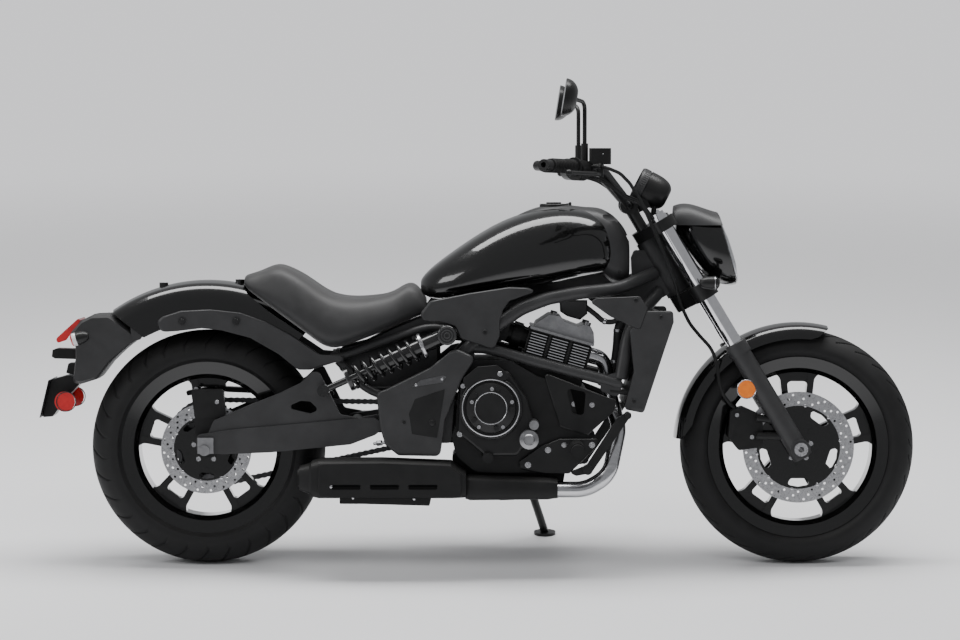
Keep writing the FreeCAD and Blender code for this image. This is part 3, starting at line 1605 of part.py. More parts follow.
def rear_reflectors():
    pieces = []
    for side in (-1, 1):
        y = side * (rear_reflector_half + seat_gap)
        low_y, high_y = min(y, y + side * reflector_thick), max(y, y + side * reflector_thick)
        pieces.append(disc(V(-374.0, 0, 437.0), rear_reflector_radius, low_y, high_y))
    return pieces


def licence_plate():
    slab = Part.makeBox(plate_thick, plate_width, plate_height)
    slab.translate(V(-plate_thick, -plate_width / 2, -plate_height))
    slab.rotate(origin, left, plate_tilt_deg)
    slab.translate(V(-417.5, 0, 492.0))
    return slab


# Frame


case_shares = ((0.0, 0.55), (0.0, 0.26), (0.26, 0.0), (0.76, 0.0), (1.0, 0.28), (1.0, 0.88), (0.86, 1.0),
               (0.54, 0.83), (0.26, 0.64))
case_x = 352.0
case_z = 470.0
case_length = 268.0
case_height = 195.0
case_half = 78.0


def battery_case():
    """The moulded case under the seat that holds the battery and closes the space behind the shock."""
    points = sized(case_shares, case_x, case_z, case_length, case_height)
    wires = [rounded_wire([V(p.x, case_half * share, p.z) for p in scaled(points, size)], rail_corner)
             for share, size in ((-1.0, 0.94), (-0.9, 1.0), (0.9, 1.0), (1.0, 0.94))]
    room = disc(rear_axle, rear_tyre_radius + wheel_gap, -case_half * 2, case_half * 2)
    return max(cut(banded(wires), [room, parts["main_frame"], seat()]).Solids, key=lambda solid: solid.Volume)


def main_frame():
    """Steering head, twin tubes on each side, pivot plates and the seat's tubes."""
    axis_low = steer(lower_clamp_at + lower_clamp_thick / 2 + part_gap, 0)
    axis_high = steer(upper_clamp_at - upper_clamp_thick / 2 - part_gap, 0)
    head = rod(axis_low, axis_high, head_radius)
    head = head.cut(rod(axis_low - steer_up * overrun, axis_high + steer_up * overrun, stem_radius + seat_gap))
    gusset = plate([steer(lower_clamp_at + 34, -20), steer(upper_clamp_at - 38, -20), V(1139, 0, 836), V(1131, 0, 816),
                    V(1133, 0, 762), V(1100, 0, 750), V(1100, 0, 722), V(1186, 0, 694)], -head_radius * 0.72, head_radius * 0.72,
                   slot_corner)
    tubes = []
    for side in (-1, 1):
        h, e = side * frame_half, side * frame_head_half
        top = [V(1192, e * 0.5, 775), V(1090, side * 112, 736), V(985, h, 727), V(905, h, 712), V(835, h, 685),
               V(765, h, 636), V(672, h, 560), V(622, h, 450), V(pivot_x, h, pivot_z)]
        down = [V(1205, e * 0.4, 726), V(1122, side * 118, 640), V(1098, h, 500)]
        low = [V(1098, h, 486), V(925, h, 531), V(740, h, 582), V(690, h, 582)]
        tubes += [pipe(top, frame_tube_radius, frame_bend), pipe(down, frame_tube_radius, frame_bend),
                  pipe(low, lower_tube_radius, frame_bend)]
        bracket = [V(x, 0, z) for x, z in ((1050, 505), (1090, 518), (1104, 486), (1090, 452), (1043, 468))]
        y = sorted((side * (frame_half - 10), side * (frame_half + 10)))
        tubes.append(plate(bracket, y[0], y[1], slot_corner))
        pivot = [V(x, 0, z) for x, z in ((575, 330), (580, 440), (600, 500), (680, 590), (715, 570), (660, 460),
                                         (650, 330))]
        y = sorted((side * (pivot_plate_half - pivot_plate_thick), side * pivot_plate_half))
        tubes.append(plate(pivot, y[0], y[1], slot_corner))
        y = sorted((side * (pivot_plate_half - pivot_plate_thick), side * (lower_cover_in - seat_gap)))
        tubes.append(disc(V(pivot_x, 0, pivot_z), pivot_boss_radius, y[0], y[1]))
        seat_tube = [V(700, side * 100, 610), V(600, side * 96, 640), V(360, side * 91, 556), V(330, side * 84, 556)]
        strut = [V(350, side * 91, 545), V(440, side * 97, 452), V(592, side * 128, 446)]
        tubes += [pipe(seat_tube, sub_tube_radius, frame_bend), pipe(strut, sub_tube_radius, frame_bend)]
        tubes.append(rod(V(700, side * 98, 610), V(716, h, 596), sub_tube_radius))
    tubes.append(disc(V(shock_top_x, 0, shock_top_z), sub_tube_radius * 1.3, shock_eye_half - shock_y, -85.0))
    for x, z in ((pivot_x, 480.0), (700.0, 610.0), (345.0, 556.0)):
        half = frame_half if x > 400 else 92.0
        tubes.append(rod(V(x, -half, z), V(x, half, z), cross_tube_radius))
    axle_hole = disc(V(pivot_x, 0, pivot_z), arm_pin_radius + run_gap, -wheelbase, wheelbase)
    body = fused([head, gusset] + tubes).cut(axle_hole)
    body = fused([body, swingarm_pin(arm_pin_radius + run_gap)])
    return body.cut(rod(axis_low - steer_up * overrun, axis_high + steer_up * overrun, stem_radius + seat_gap))


lower_cover_in = 156.0
arm_pin_radius = 9.0

arm_low_points = ((-22, 351), (-22, 305), (48, 301), (174, 306), (306, 319), (385, 327), (450, 352), (480, 376),
                  (450, 397), (385, 395), (253, 382), (69, 366))
arm_high_points = ((2, 340), (23, 389), (121, 432), (200, 463), (253, 489), (284, 518), (302, 518), (332, 458),
                   (358, 405), (420, 394), (385, 380), (253, 372), (69, 350))
arm_gap_points = ((213, 424), (253, 442), (279, 440), (302, 418), (279, 408))
arm_root_points = ((370, 352), (450, 356), (600, 356), (630, 386), (600, 407), (450, 402), (370, 390))


def outline(points):
    """Side outline points as vectors."""
    return [V(x, 0, z) for x, z in points]


def swingarm():
    """The swingarm: on each side a beam with a braced top, and inner arms that carry the pivot tube."""
    sides = []
    for side in (-1, 1):
        beam_y = sorted((side * (arm_y - arm_thick / 2), side * (arm_y + arm_thick / 2)))
        brace_y = sorted((side * (arm_y - arm_thick / 2), side * (arm_y + arm_thick / 4)))
        root_y = sorted((side * arm_root_in, side * (arm_root_in + arm_thick)))
        beam = plate(outline(arm_low_points), beam_y[0], beam_y[1], arm_corner)
        brace = plate(outline(arm_high_points), brace_y[0], brace_y[1], arm_corner)
        gap = plate(outline(arm_gap_points), brace_y[0] - overrun, brace_y[1] + overrun, slot_corner)
        root = plate(outline(arm_root_points), root_y[0], root_y[1], arm_corner)
        sides += [beam, brace.cut(gap), root]
    tube = rod(V(395, -arm_y, 372), V(395, arm_y, 372), 19.0)
    reach = arm_root_in + arm_thick + 2.0
    pivot = disc(V(pivot_x, 0, pivot_z), arm_pivot_radius, -reach, reach)
    hole = disc(V(pivot_x, 0, pivot_z), arm_pin_radius + run_gap, -wheelbase, wheelbase)
    axle_hole = disc(rear_axle, rear_axle_radius + run_gap, -wheelbase, wheelbase)
    return cut(fused(sides + [tube, pivot]), [hole, axle_hole])


arm_root_in = 92.0


def rear_axle_shaft():
    """The rear axle with its nuts, the chain adjusters' blocks and the sleeves beside the hub."""
    out = arm_y + arm_thick / 2
    shaft = disc(rear_axle, rear_axle_radius, -out - axle_block_thick - axle_nut_thick, out + axle_block_thick)
    shapes = [shaft]
    for side in (-1, 1):
        y = sorted((side * out, side * (out + axle_block_thick)))
        block = Part.makeBox(axle_block, axle_block_thick, axle_block,
                             V(-axle_block / 2 + 3, y[0], rear_axle_z - axle_block / 2 + 12))
        y = sorted((side * (out + axle_block_thick), side * (out + axle_block_thick + axle_nut_thick)))
        shapes += [block, disc(rear_axle, axle_nut_radius, y[0], y[1])]
    inner = arm_y - arm_thick / 2
    sleeve = disc(rear_axle, rear_axle_radius * 1.6, -inner, -rear_disc_y - carrier_thick - part_gap)
    other = disc(rear_axle, rear_axle_radius * 1.6, chain_y + sprocket_thick / 2 + part_gap, inner)
    return fused(shapes + [sleeve, other])


def swingarm_pin(radius):
    return disc(V(pivot_x, 0, pivot_z), radius, -pivot_plate_half - 8, pivot_plate_half + 8)


def rear_caliper():
    """The rear caliper over the disc and the bracket that holds it to the axle."""
    points = [V(x, 0, z) for x, z in ((-39, 470), (46, 470), (53, 398), (-28, 391))]
    body = plate(points, -rear_disc_y - rear_caliper_half, -rear_disc_y + rear_caliper_half, caliper_corner)
    slot = disc(rear_axle, rear_disc_radius + wheel_gap, -rear_disc_y - caliper_slot / 2, -rear_disc_y + caliper_slot / 2)
    inner_room = Part.makeBox(400, 40, 400, V(-200, -rear_disc_y + caliper_slot / 2 + 6, 300))
    stay = [V(x, 0, z) for x, z in ((-30, 400), (42, 400), (26, rear_axle_z - 22), (-22, rear_axle_z - 22))]
    arm = plate(stay, -rear_disc_y - 22.0, -rear_disc_y - 14.0, caliper_corner)
    return cut(fused([body.cut(slot).cut(inner_room), arm]),
               [disc(rear_axle, rear_axle_radius * 1.6, -wheelbase, wheelbase)])


# Chain drive


def chain_path(offset_out, offset_in, steps):
    """Points along the chain's loop, alternating between two distances from its pitch line."""
    small, large = pitch_radius(front_teeth), pitch_radius(rear_teeth)
    front = V(front_sprocket_x, 0, front_sprocket_z)
    gap = front - rear_axle
    distance = gap.Length
    tilt = math.atan2(gap.z, gap.x)
    spread = math.asin((large - small) / distance)
    straight = math.sqrt(distance ** 2 - (large - small) ** 2)
    rear_wrap = (math.pi + 2 * spread) * large
    front_wrap = (math.pi - 2 * spread) * small
    total = rear_wrap + front_wrap + 2 * straight
    points = []
    for i in range(steps):
        s = total * i / steps
        out = offset_out if i % 2 == 0 else offset_in
        if s < straight:
            normal = tilt + math.pi / 2 - spread
            start = V(rear_axle.x + large * math.cos(normal), 0, rear_axle.z + large * math.sin(normal))
            along = normal - math.pi / 2
            p = start + V(math.cos(along), 0, math.sin(along)) * s
        elif s < straight + front_wrap:
            normal = tilt + math.pi / 2 - spread - (s - straight) / small
            p = front + V(math.cos(normal), 0, math.sin(normal)) * small
        elif s < 2 * straight + front_wrap:
            normal = tilt - math.pi / 2 + spread
            start = V(front.x + small * math.cos(normal), 0, front.z + small * math.sin(normal))
            along = normal - math.pi / 2
            p = start + V(math.cos(along), 0, math.sin(along)) * (s - straight - front_wrap)
        else:
            normal = tilt - math.pi / 2 + spread - (s - 2 * straight - front_wrap) / large
            p = rear_axle + V(math.cos(normal), 0, math.sin(normal)) * large
        points.append(p + V(math.cos(normal), 0, math.sin(normal)) * out)
    return points, total


def loop_band(high, waist, y_low, y_high, steps):
    """A closed band about the chain's pitch line with a waist between its links."""
    outer, total = chain_path(high, waist, steps)
    inner, total = chain_path(-high, -waist, steps)
    outer_wire = Part.makePolygon([V(p.x, y_low, p.z) for p in outer + outer[:1]])
    inner_wire = Part.makePolygon([V(p.x, y_low, p.z) for p in inner + inner[:1]])
    across = V(0, y_high - y_low, 0)
    return Part.Face(outer_wire).extrude(across).cut(Part.Face(inner_wire).extrude(across))


def chain():
    """The endless chain, its outline waisted between the links."""
    half = chain_inner_width / 2 + chain_plate_thick * 2
    return loop_band(chain_plate_high, chain_plate_waist, chain_y - half, chain_y + half, chain_steps)


chain_steps = 228


def chain_guard():
    """The guard over the chain's upper run and the cover over the front sprocket."""
    top = [V(x, 0, z) for x, z in ((-70, 452), (0, 466), (90, 462), (300, 454), (330, 450), (330, 439), (300, 438),
                                   (90, 448), (0, 452), (-66, 440))]
    guard = plate(top, chain_y - 13, arm_y - arm_thick / 2, rail_bolt_head)
    lug = [V(x, 0, z) for x, z in ((180, 462), (220, 462), (214, 440), (186, 440))]
    return fused([guard, plate(lug, arm_y - arm_thick / 2 - 8, arm_y - arm_thick / 2, rail_bolt_head)])


# Engine


def tilted(u, w, y=0.0):
    """A point by its distances along and up the tilted cylinders."""
    tilt = math.radians(cylinder_tilt_deg)
    base = V(cylinder_base_x, y, cylinder_base_z)
    return base + V(math.cos(tilt), 0, -math.sin(tilt)) * u + V(math.sin(tilt), 0, math.cos(tilt)) * w


def tilted_block(u_low, u_high, w_low, w_high, y_low, y_high, corner):
    points = [tilted(u_low, w_low), tilted(u_high, w_low), tilted(u_high, w_high), tilted(u_low, w_high)]
    return plate(points, y_low, y_high, corner)


crankcase_points = ((652, 345), (662, 375), (672, 520), (696, 549), (806, 549), (880, 506), (985, 478), (1012, 470),
                    (1018, 360), (985, 290), (900, 253), (790, 252), (715, 254), (664, 296))


def crankcase():
    """The crankcase with its gearbox, sump and the drives' raised covers behind the side covers."""
    points = [V(x, 0, z) for x, z in crankcase_points]
    body = plate(points, -crankcase_half, crankcase_half, crankcase_corner)
    belly = [V(x, 0, z) for x, z in ((650, 300), (660, 234), (764, 226), (770, 172), (940, 178), (960, 285))]
    pan = plate(belly, -sump_half, sump_half, rail_corner)
    pocket = plate(outline(sprocket_cover_points), chain_y - chain_room, crankcase_half + part_gap, rail_corner)
    hub = disc(V(front_sprocket_x, 0, front_sprocket_z), chain_sprocket_hub, chain_y - chain_room, chain_y + chain_room)
    return cut(fused([fused([body, pan]).cut(pocket), hub]), [parts["main_frame"]])


chain_room = 14.0
chain_sprocket_hub = 29.0
sprocket_cover_points = ((630, 310), (630, 430), (690, 458), (756, 444), (756, 326), (700, 306))


def clutch_cover():
    """The round clutch cover with its stepped face, outer ring and five screws."""
    centre = V(crank_x, 0, crank_z)
    base = [V(x, 0, z) for x, z in ((668, 360), (674, 490), (706, 520), (800, 522), (850, 450), (872, 372), (826, 300),
                                    (740, 300))]
    foot = moulded(base, -crankcase_half, -case_cover_out, rail_corner, rail_edge)
    ring_solid = disc(centre, clutch_ring_radius, -clutch_boss_out, -crankcase_half)
    ring_solid = ring_solid.makeFillet(rail_edge, [e for e in ring_solid.Edges if abs(e.BoundBox.YMin + clutch_boss_out)
                                                   < part_gap and e.BoundBox.YLength < part_gap])
    groove = disc(centre, clutch_cover_radius + skin * 2, -clutch_boss_out - overrun, -clutch_boss_out + rail_edge)
    groove = groove.cut(disc(centre, clutch_cover_radius, -clutch_boss_out - overrun * 2, -clutch_boss_out + rail_edge * 2))
    lid = turned([(0, -clutch_boss_out), (clutch_cover_radius, -clutch_boss_out),
                  (clutch_cover_radius - skin, -clutch_out + skin * 2), (clutch_face_radius + skin, -clutch_out),
                  (clutch_face_radius, -clutch_out + skin), (0, -clutch_out + skin)], centre)
    screw = disc(polar(centre, clutch_cover_radius * 0.82, 0), rail_bolt_radius, -clutch_out - skin, -clutch_out + skin * 4)
    band = [polar(centre, clutch_ring_radius * share, angle) for share, angle in clutch_band_shares]
    guard = moulded(band, -case_cover_out - skin, -clutch_boss_out - skin, slot_corner, part_gap)
    return fused([foot, ring_solid.cut(groove), lid, guard] + around(screw, centre, 5, 20.0))


clutch_band_shares = ((0.95, -56.0), (0.97, -30.0), (0.97, 0.0), (0.96, 26.0), (1.2, 30.0), (1.37, 8.0), (1.37, -18.0),
                      (1.28, -44.0))


def small_covers():
    """The coolant pump's round cover, a smaller one beside it, and the oil filler."""
    pump = turned([(0, -pump_out), (pump_radius * 0.5, -pump_out), (pump_radius * 0.6, -pump_out + skin),
                   (pump_radius, -pump_out + skin * 2), (pump_radius, -crankcase_half), (0, -crankcase_half)],
                  V(855, 0, 345))
    small = disc(V(868, 0, 383), pump_radius * 0.5, -pump_out + rail_edge * 2, -crankcase_half)
    return fused([pump, small]).cut(clutch_cover())


def oil_filler():
    """The oil filler's knob low on the right side, with the bar across it that a hand turns."""
    out = -case_cover_out - filler_height
    knob = disc(V(747, 0, 296), filler_radius, out, -crankcase_half)
    bar = Part.makeBox(filler_radius * 0.36, filler_height * 0.4, filler_radius * 1.8,
                       V(747 - filler_radius * 0.18, out - filler_height * 0.4, 296 - filler_radius * 0.9))
    return fused([knob, bar]).cut(clutch_cover())


def dynamo_cover():
    """The left side: the round dynamo cover and the front sprocket's cover."""
    centre = V(838, 0, 396)
    lid = turned([(0, crankcase_half), (dynamo_radius + skin * 3, crankcase_half), (dynamo_radius + skin * 2, crankcase_half + 20),
                  (dynamo_radius, dynamo_out - skin * 2), (dynamo_radius * 0.8, dynamo_out), (0, dynamo_out)], centre)
    screw = disc(polar(centre, dynamo_radius * 0.68, 0), rail_bolt_radius, dynamo_out - skin, dynamo_out + skin)
    return fused([lid] + around(screw, centre, 5))


def sprocket_cover():
    """The cover over the front sprocket, let into the crankcase."""
    lid = moulded(outline(sprocket_cover_points), chain_y + chain_room * 2, crankcase_half + part_gap, rail_corner, skin)
    return lid.cut(main_frame())


def cylinders():
    """The finned cylinder block, its fins cut in three columns on each side."""
    half = cylinder_depth / 2
    low, high = fin_low, fin_low + fin_height
    body = tilted_block(-half, half, 10.0, high, -cylinder_half, cylinder_half, slot_corner)
    pitch = fin_height / fin_count
    slots = []
    columns = 3
    column = cylinder_depth / columns
    for row in range(fin_count):
        w = low + pitch * row
        for i in range(columns):
            u = -half + column * i + fin_thick
            for side in (-1, 1):
                y = sorted((side * (cylinder_half - fin_gap_depth), side * (cylinder_half + overrun)))
                slots.append(tilted_block(u, u + column - 2 * fin_thick, w, w + pitch - fin_thick, y[0], y[1],
                                          part_gap * 0.2))
        for u_low, u_high in ((-half - overrun, -half + fin_gap_depth), (half - fin_gap_depth, half + overrun)):
            slots.append(tilted_block(u_low, u_high, w, w + pitch - fin_thick, -cylinder_half * 0.9,
                                      cylinder_half * 0.9, part_gap * 0.2))
    return cut(body, slots + [crankcase()])


fin_low = 78.0


def head_cover():
    """The bright cylinder head cover: two cam humps on a flange, with its bolts."""
    base = fin_low + fin_height
    profile = [tilted(u, base + w) for u, w in ((-76, 0), (-74, 16), (-46, 48), (-16, 52), (-5, 42), (38, 38),
                                                (48, 48), (68, 48), (80, 34), (92, 0))]
    humps = plate(profile, -cylinder_half * 0.86, cylinder_half * 0.86, slot_corner)
    flange = tilted_block(-cylinder_depth / 2, cylinder_depth / 2 + skin, base, base + head_plate_thick, -cylinder_half,
                          cylinder_half, slot_corner)
    bolts = []
    for u in (-31, 58):
        for y in (-0.6, 0.6):
            bolts.append(rod(tilted(u, base + 40, cylinder_half * y), tilted(u, base + 56, cylinder_half * y),
                             rail_bolt_radius * 1.4))
    return fused([humps, flange] + bolts)


def engine_plates():
    """The cast plates on both sides of the cylinders' foot, each with a window."""
    outline = [V(x, 0, z) for x, z in ((892, 519), (1061, 453), (1087, 445), (1079, 414), (1010, 352), (937, 374))]
    window = [V(x, 0, z) for x, z in ((953, 477), (1005, 466), (1000, 404), (970, 410))]
    hole = plate(window, crankcase_half - 30, crankcase_half + 30, slot_corner)
    body = moulded(outline, crankcase_half, crankcase_half + side_plate_thick, slot_corner, skin).cut(hole)
    return both(body)


def intake():
    """The two throttle bodies behind the head and the air box under the tank."""
    pieces = []
    for side in (-1, 1):
        y = side * intake_half_spacing
        pieces.append(rod(V(855, y, 600), V(792, y, 622), intake_radius))
        pieces.append(rod(V(836, y, 606), V(812, y, 614), intake_radius * 1.25))
    box = [V(x, 0, z) for x, z in ((650, 600), (655, 690), (700, 706), (800, 716), (812, 660), (796, 600), (740, 590))]
    pieces.append(moulded(box, -airbox_half, airbox_half, rail_corner, rail_edge))
    return cut(fused(pieces), [cylinders(), main_frame()])


# Radiator


def radiator_place(w, n, y=0.0):
    """A point of the tilted radiator: w down from its top, n ahead of its middle."""
    down = V(radiator_bottom_x - radiator_top_x, 0, radiator_bottom_z - radiator_top_z)
    down.normalize()
    out = V(-down.z, 0, down.x)
    return V(radiator_top_x, y, radiator_top_z) + down * w + out * n


def radiator():
    """The core between its two side tanks, with the fan behind it."""
    length = math.hypot(radiator_bottom_x - radiator_top_x, radiator_bottom_z - radiator_top_z)
    half = radiator_thick / 2
    core = [radiator_place(0, -half), radiator_place(0, half), radiator_place(length, half), radiator_place(length, -half)]
    body = plate(core, -radiator_half, radiator_half, rail_bolt_head)
    frontal = []
    count = 14
    for i in range(count):
        low = radiator_place(length * (i + 0.35) / count, half - skin)
        high = radiator_place(length * (i + 1) / count, half - skin)
        far_high = radiator_place(length * (i + 1) / count, half + overrun)
        far_low = radiator_place(length * (i + 0.35) / count, half + overrun)
        reach = radiator_half - radiator_tank
        frontal.append(plate([low, high, far_high, far_low], -reach, reach, part_gap * 0.2))
    body = cut(body, frontal[:-1])
    centre = radiator_place(length * 0.42, -half)
    fan = Part.makeCylinder(fan_radius, fan_depth, centre, radiator_place(0, -1) - radiator_place(0, 0))
    posts = []
    for side in (-1, 1):
        for w in (length * 0.12, length * 0.86):
            start = radiator_place(w, -half, side * (radiator_half - 10))
            posts.append(rod(start, start + V(-46, 0, 4), rail_bolt_radius))
    return cut(fused([body, fan] + posts), [parts["main_frame"]])


shroud_points = ((1165, 680), (1234, 680), (1236, 651), (1157, 411), (1106, 421), (1131, 520), (1120, 630))
shroud_top_points = ((1032, 714), (1147, 719), (1168, 687), (1147, 629), (1068, 666), (1016, 703))


def radiator_shrouds():
    """The panels on both sides of the radiator and the paler covers over their tops."""
    lower = moulded([V(x, 0, z) for x, z in shroud_points], radiator_half + seat_gap, radiator_half + 16, slot_corner, skin)
    room = plate(outline(shroud_top_points), radiator_half - overrun, radiator_half + 30, slot_corner)
    return both(lower.cut(room))


def shroud_covers():
    inner = frame_half + frame_tube_radius + seat_gap
    upper = moulded([V(x, 0, z) for x, z in shroud_top_points], inner, inner + 12, slot_corner, skin)
    return both(upper)


# Exhaust


def exhaust_headers():
    """The two bright pipes from the cylinder head, under the engine to the silencer."""
    pipes = []
    port = fin_low + fin_height * 0.55
    for y_top, y_low in ((-header_half_spacing, -172.0), (header_half_spacing, -127.0)):
        points = [tilted(cylinder_depth / 2, port, y_top), tilted(cylinder_depth / 2 + 44, port, y_top),
                  V(1074, y_top, 446), V(1096, (y_top + y_low) / 2, 366), V(1068, y_low, 246), V(1006, y_low, 208),
                  V(930.3, y_low, 208)]
        pipes.append(pipe(points, header_radius, header_bend))
    return fused(pipes)


muffler_rows = ((252, 209, 270, 0.78), (278, 199, 277, 0.88), (284, 192, 284, 0.95), (304, 188, 290, 1.0),
                (470, 188, 291, 1.0), (650, 188, 284, 1.0), (672, 189, 268, 0.97), (690, 190, 257, 0.90))
collector_rows = ((688, 186, 243, 0.92), (700, 182, 247, 1.0), (905, 184, 240, 1.0), (930.3, 188, 236, 0.94))


def muffler():
    """The silencer can and the chamber ahead of it, lofted, with the tail pipe at the back."""
    y = -muffler_y + 36
    can = banded([ring(x, low, high, muffler_half * wide, 0.34, 0.42, 0.0, y) for x, low, high, wide in muffler_rows])
    box = banded([ring(x, low, high, collector_half * wide, 0.4, 0.5, 0.0, -collector_y)
                  for x, low, high, wide in collector_rows])
    tip = rod(V(246, y, 240), V(300, y, 240), muffler_tip_radius)
    outlet = rod(V(240, y, 240), V(290, y, 240), muffler_tip_radius - muffler_tip_wall)
    return fused([can, box, tip]).cut(outlet)


def muffler_cover():
    """The heat shield over the can's outer side, with its three long slots and its foot."""
    face = muffler_y - 36 + muffler_half
    outline = [V(x, 0, z) for x, z in ((304, 282), (470, 284), (648, 277), (676, 254), (680, 194), (308, 194), (302, 206))]
    shield = moulded(outline, -face - seat_gap, -face - 10, slot_corner, skin)
    slots = []
    for i in range(slot_count):
        x = muffler_slot_x + slot_step * i
        points = [V(x, 0, muffler_slot_z), V(x + slot_length, 0, muffler_slot_z), V(x + slot_length, 0, muffler_slot_z + slot_height),
                  V(x, 0, muffler_slot_z + slot_height)]
        slots.append(plate(points, -face - 10 - overrun, -face + skin, slot_height * 0.45))
    foot = [V(x, 0, z) for x, z in ((358, 192), (358, 175), (420, 175), (594, 170), (599, 192))]
    return fused([cut(shield, slots), plate(foot, -face + 12, -face + 15, skin)])


muffler_slot_x = 338.0
muffler_slot_z = 218.5


# Covers


upper_cover_points = ((595, 706), (700, 727), (805, 743), (853, 741), (874, 732), (805, 708), (787, 682), (779, 656),
                      (779, 616), (763, 577), (727, 590), (676, 606), (661, 640), (621, 652), (556, 656))
lower_cover_points = ((454, 466), (478, 474), (596, 532), (648, 574), (669, 579), (716, 558), (679, 500), (635, 396),
                      (622, 299), (512, 301), (478, 328), (465, 370), (459, 422))
badge_points = ((546, 480), (570, 501), (632, 514), (640, 509), (632, 493))


def upper_side_covers():
    inner = frame_half + frame_tube_radius + seat_gap
    cover = moulded([V(x, 0, z) for x, z in upper_cover_points], inner, inner + upper_cover_thick, cover_corner, cover_edge)
    return both(cover)


def lower_side_covers():
    """The deep covers over the swingarm's pivot, each with a bright strip."""
    points = [V(x, 0, z) for x, z in lower_cover_points]
    cover = moulded(points, lower_cover_in, lower_cover_in + 36, cover_corner, cover_edge)
    pocket = plate(scaled(points, 0.9), lower_cover_in - overrun, lower_cover_in + 26, cover_corner)
    post = disc(V(pivot_x, 0, pivot_z), pivot_boss_radius * 0.8, lower_cover_in, lower_cover_in + 30)
    return both(fused([cover.cut(pocket), post]))


def cover_strips():
    points = [V(x, 0, z) for x, z in badge_points]
    return both(plate(points, lower_cover_in + 36, lower_cover_in + 36 + badge_thick, slot_corner))


# Shock absorber


def shock_line(s, y=0.0):
    top = V(shock_top_x, -shock_y, shock_top_z)
    low = V(shock_low_x, -shock_y, shock_low_z)
    along = low - top
    length = along.Length
    along.normalize()
    return top + along * s + V(0, y, 0), along, length


def shock_absorber():
    """The laid-down shock on the right: eye, body, collar, rod and lower eye, with its round cap."""
    top, along, length = shock_line(0)
    body = rod(shock_line(18)[0], shock_line(210)[0], shock_body_radius)
    piston = rod(shock_line(210)[0], shock_line(length)[0], shock_rod_radius)
    collar = rod(shock_line(spring_start - collar_thick)[0], shock_line(spring_start)[0], collar_radius)
    foot = rod(shock_line(spring_start + spring_length)[0], shock_line(spring_start + spring_length + collar_thick)[0],
               collar_radius)
    eye = disc(top, shock_cap_radius, -shock_y - shock_eye_half, -shock_y + shock_eye_half)
    cap = disc(top, shock_cap_radius, -shock_cap_out, -shock_y)
    cap = cap.makeFillet(rail_edge, [e for e in cap.Edges if e.BoundBox.YMax < skin - shock_cap_out and e.BoundBox.YLength < part_gap])
    brace_face = arm_y + arm_thick / 4
    low_eye = disc(shock_line(length)[0], 16.0, -shock_y - 12, -brace_face)
    return fused([body, piston, collar, foot, eye, cap, low_eye])


def shock_spring():
    helix = Part.makeHelix(spring_pitch, spring_length - 2 * spring_wire - part_gap, spring_radius)
    ring_wire = Part.Wire([Part.makeCircle(spring_wire, V(spring_radius, 0, 0), V(0, 1, 0))])
    spring = Part.Wire(helix.Edges).makePipeShell([ring_wire], True, True)
    start, along, length = shock_line(spring_start + spring_wire + part_gap / 2)
    spring.Placement = FreeCAD.Placement(start, FreeCAD.Rotation(V(0, 0, 1), along))
    return spring


# Feet


bracket_points = ((884, 322), (936, 343), (1036, 343), (1041, 327), (1015, 303), (962, 251), (897, 251), (831, 264), (831, 285))
pedal_points = ((1085, 396), (1114, 417), (1127, 410), (1019, 253), (1001, 266))


def foot_brackets():
    inner = crankcase_half
    points = [V(x, 0, z) for x, z in bracket_points]
    return both(moulded(points, inner, inner + bracket_thick, slot_corner, skin))


def footpegs():
    """The pegs with their ribbed rubbers and forged roots."""
    pegs = []
    start = crankcase_half + bracket_thick
    centre = V(peg_x, 0, peg_z)
    root = disc(centre, peg_radius * 0.8, start, start + 40)
    rubber = disc(centre, peg_radius, start + 36, peg_end)
    ribs = []
    for i in range(7):
        y = start + 52 + i * 17
        ribs.append(disc(centre, peg_radius + 2.5, y, y + 9))
    pegs += both(fused([root, rubber] + ribs))
    return pegs


def pedals():
    """The brake pedal on the right and the gear lever on the left, with their pads."""
    start = crankcase_half + bracket_thick
    arm = plate([V(x, 0, z) for x, z in pedal_points], start + skin * 2, start + skin * 2 + pedal_thick, slot_corner)
    boss = disc(V(1010, 0, 262), 13.0, start - bracket_thick, start + skin * 2 + pedal_thick + 3)
    lug = plate([V(960, 0, 254), V(1012, 0, 275), V(1022, 0, 252), V(980, 0, 245)], start - bracket_thick, start, slot_corner * 0.5)
    pad = disc(V(1114, 0, 408), pedal_pad_radius, start + skin * 2, start + skin * 2 + pedal_pad_length)
    return both(fused([arm, boss, pad, lug]))


# Side stand


stand_pivot = V(850.0, 172.0, 224.0)
stand_reach_x = 56.0
stand_foot_side = 296.0
stand_fold = V(-1.0, 0.14, 0.05)


def floor_height(y):
    """How high the floor stands beside the leaning machine, in its upright frame."""
    return (y * math.sin(lean) - crown_drop) / math.cos(lean)


def stand_vectors():
    foot = V(stand_pivot.x + stand_reach_x, stand_foot_side, floor_height(stand_foot_side) + stand_foot_thick)
    down = foot - stand_pivot
    axis = V(down).cross(stand_fold)
    axis.normalize()
    return foot, down, axis


def side_stand():
    """The leg with its eye and a foot whose sole lies flat on the floor."""
    foot, down, axis = stand_vectors()
    eye = rod(stand_pivot - axis * (stand_eye_thick / 2), stand_pivot + axis * (stand_eye_thick / 2), stand_eye_radius)
    leg = rod(stand_pivot, foot, stand_leg_radius)
    sole_up = V(0, -math.sin(lean), math.cos(lean))
    pad = Part.makeCylinder(stand_foot_radius, stand_foot_thick, foot - sole_up * stand_foot_thick, sole_up)
    ground = Part.makeCylinder(stand_foot_radius * 2, stand_foot_thick * 4, foot - sole_up * (stand_foot_thick * 5), sole_up)
    body = fused([eye, leg, pad]).cut(ground)
    return body.cut(rod(stand_pivot - axis * 40, stand_pivot + axis * 40, stand_pin_radius + run_gap))


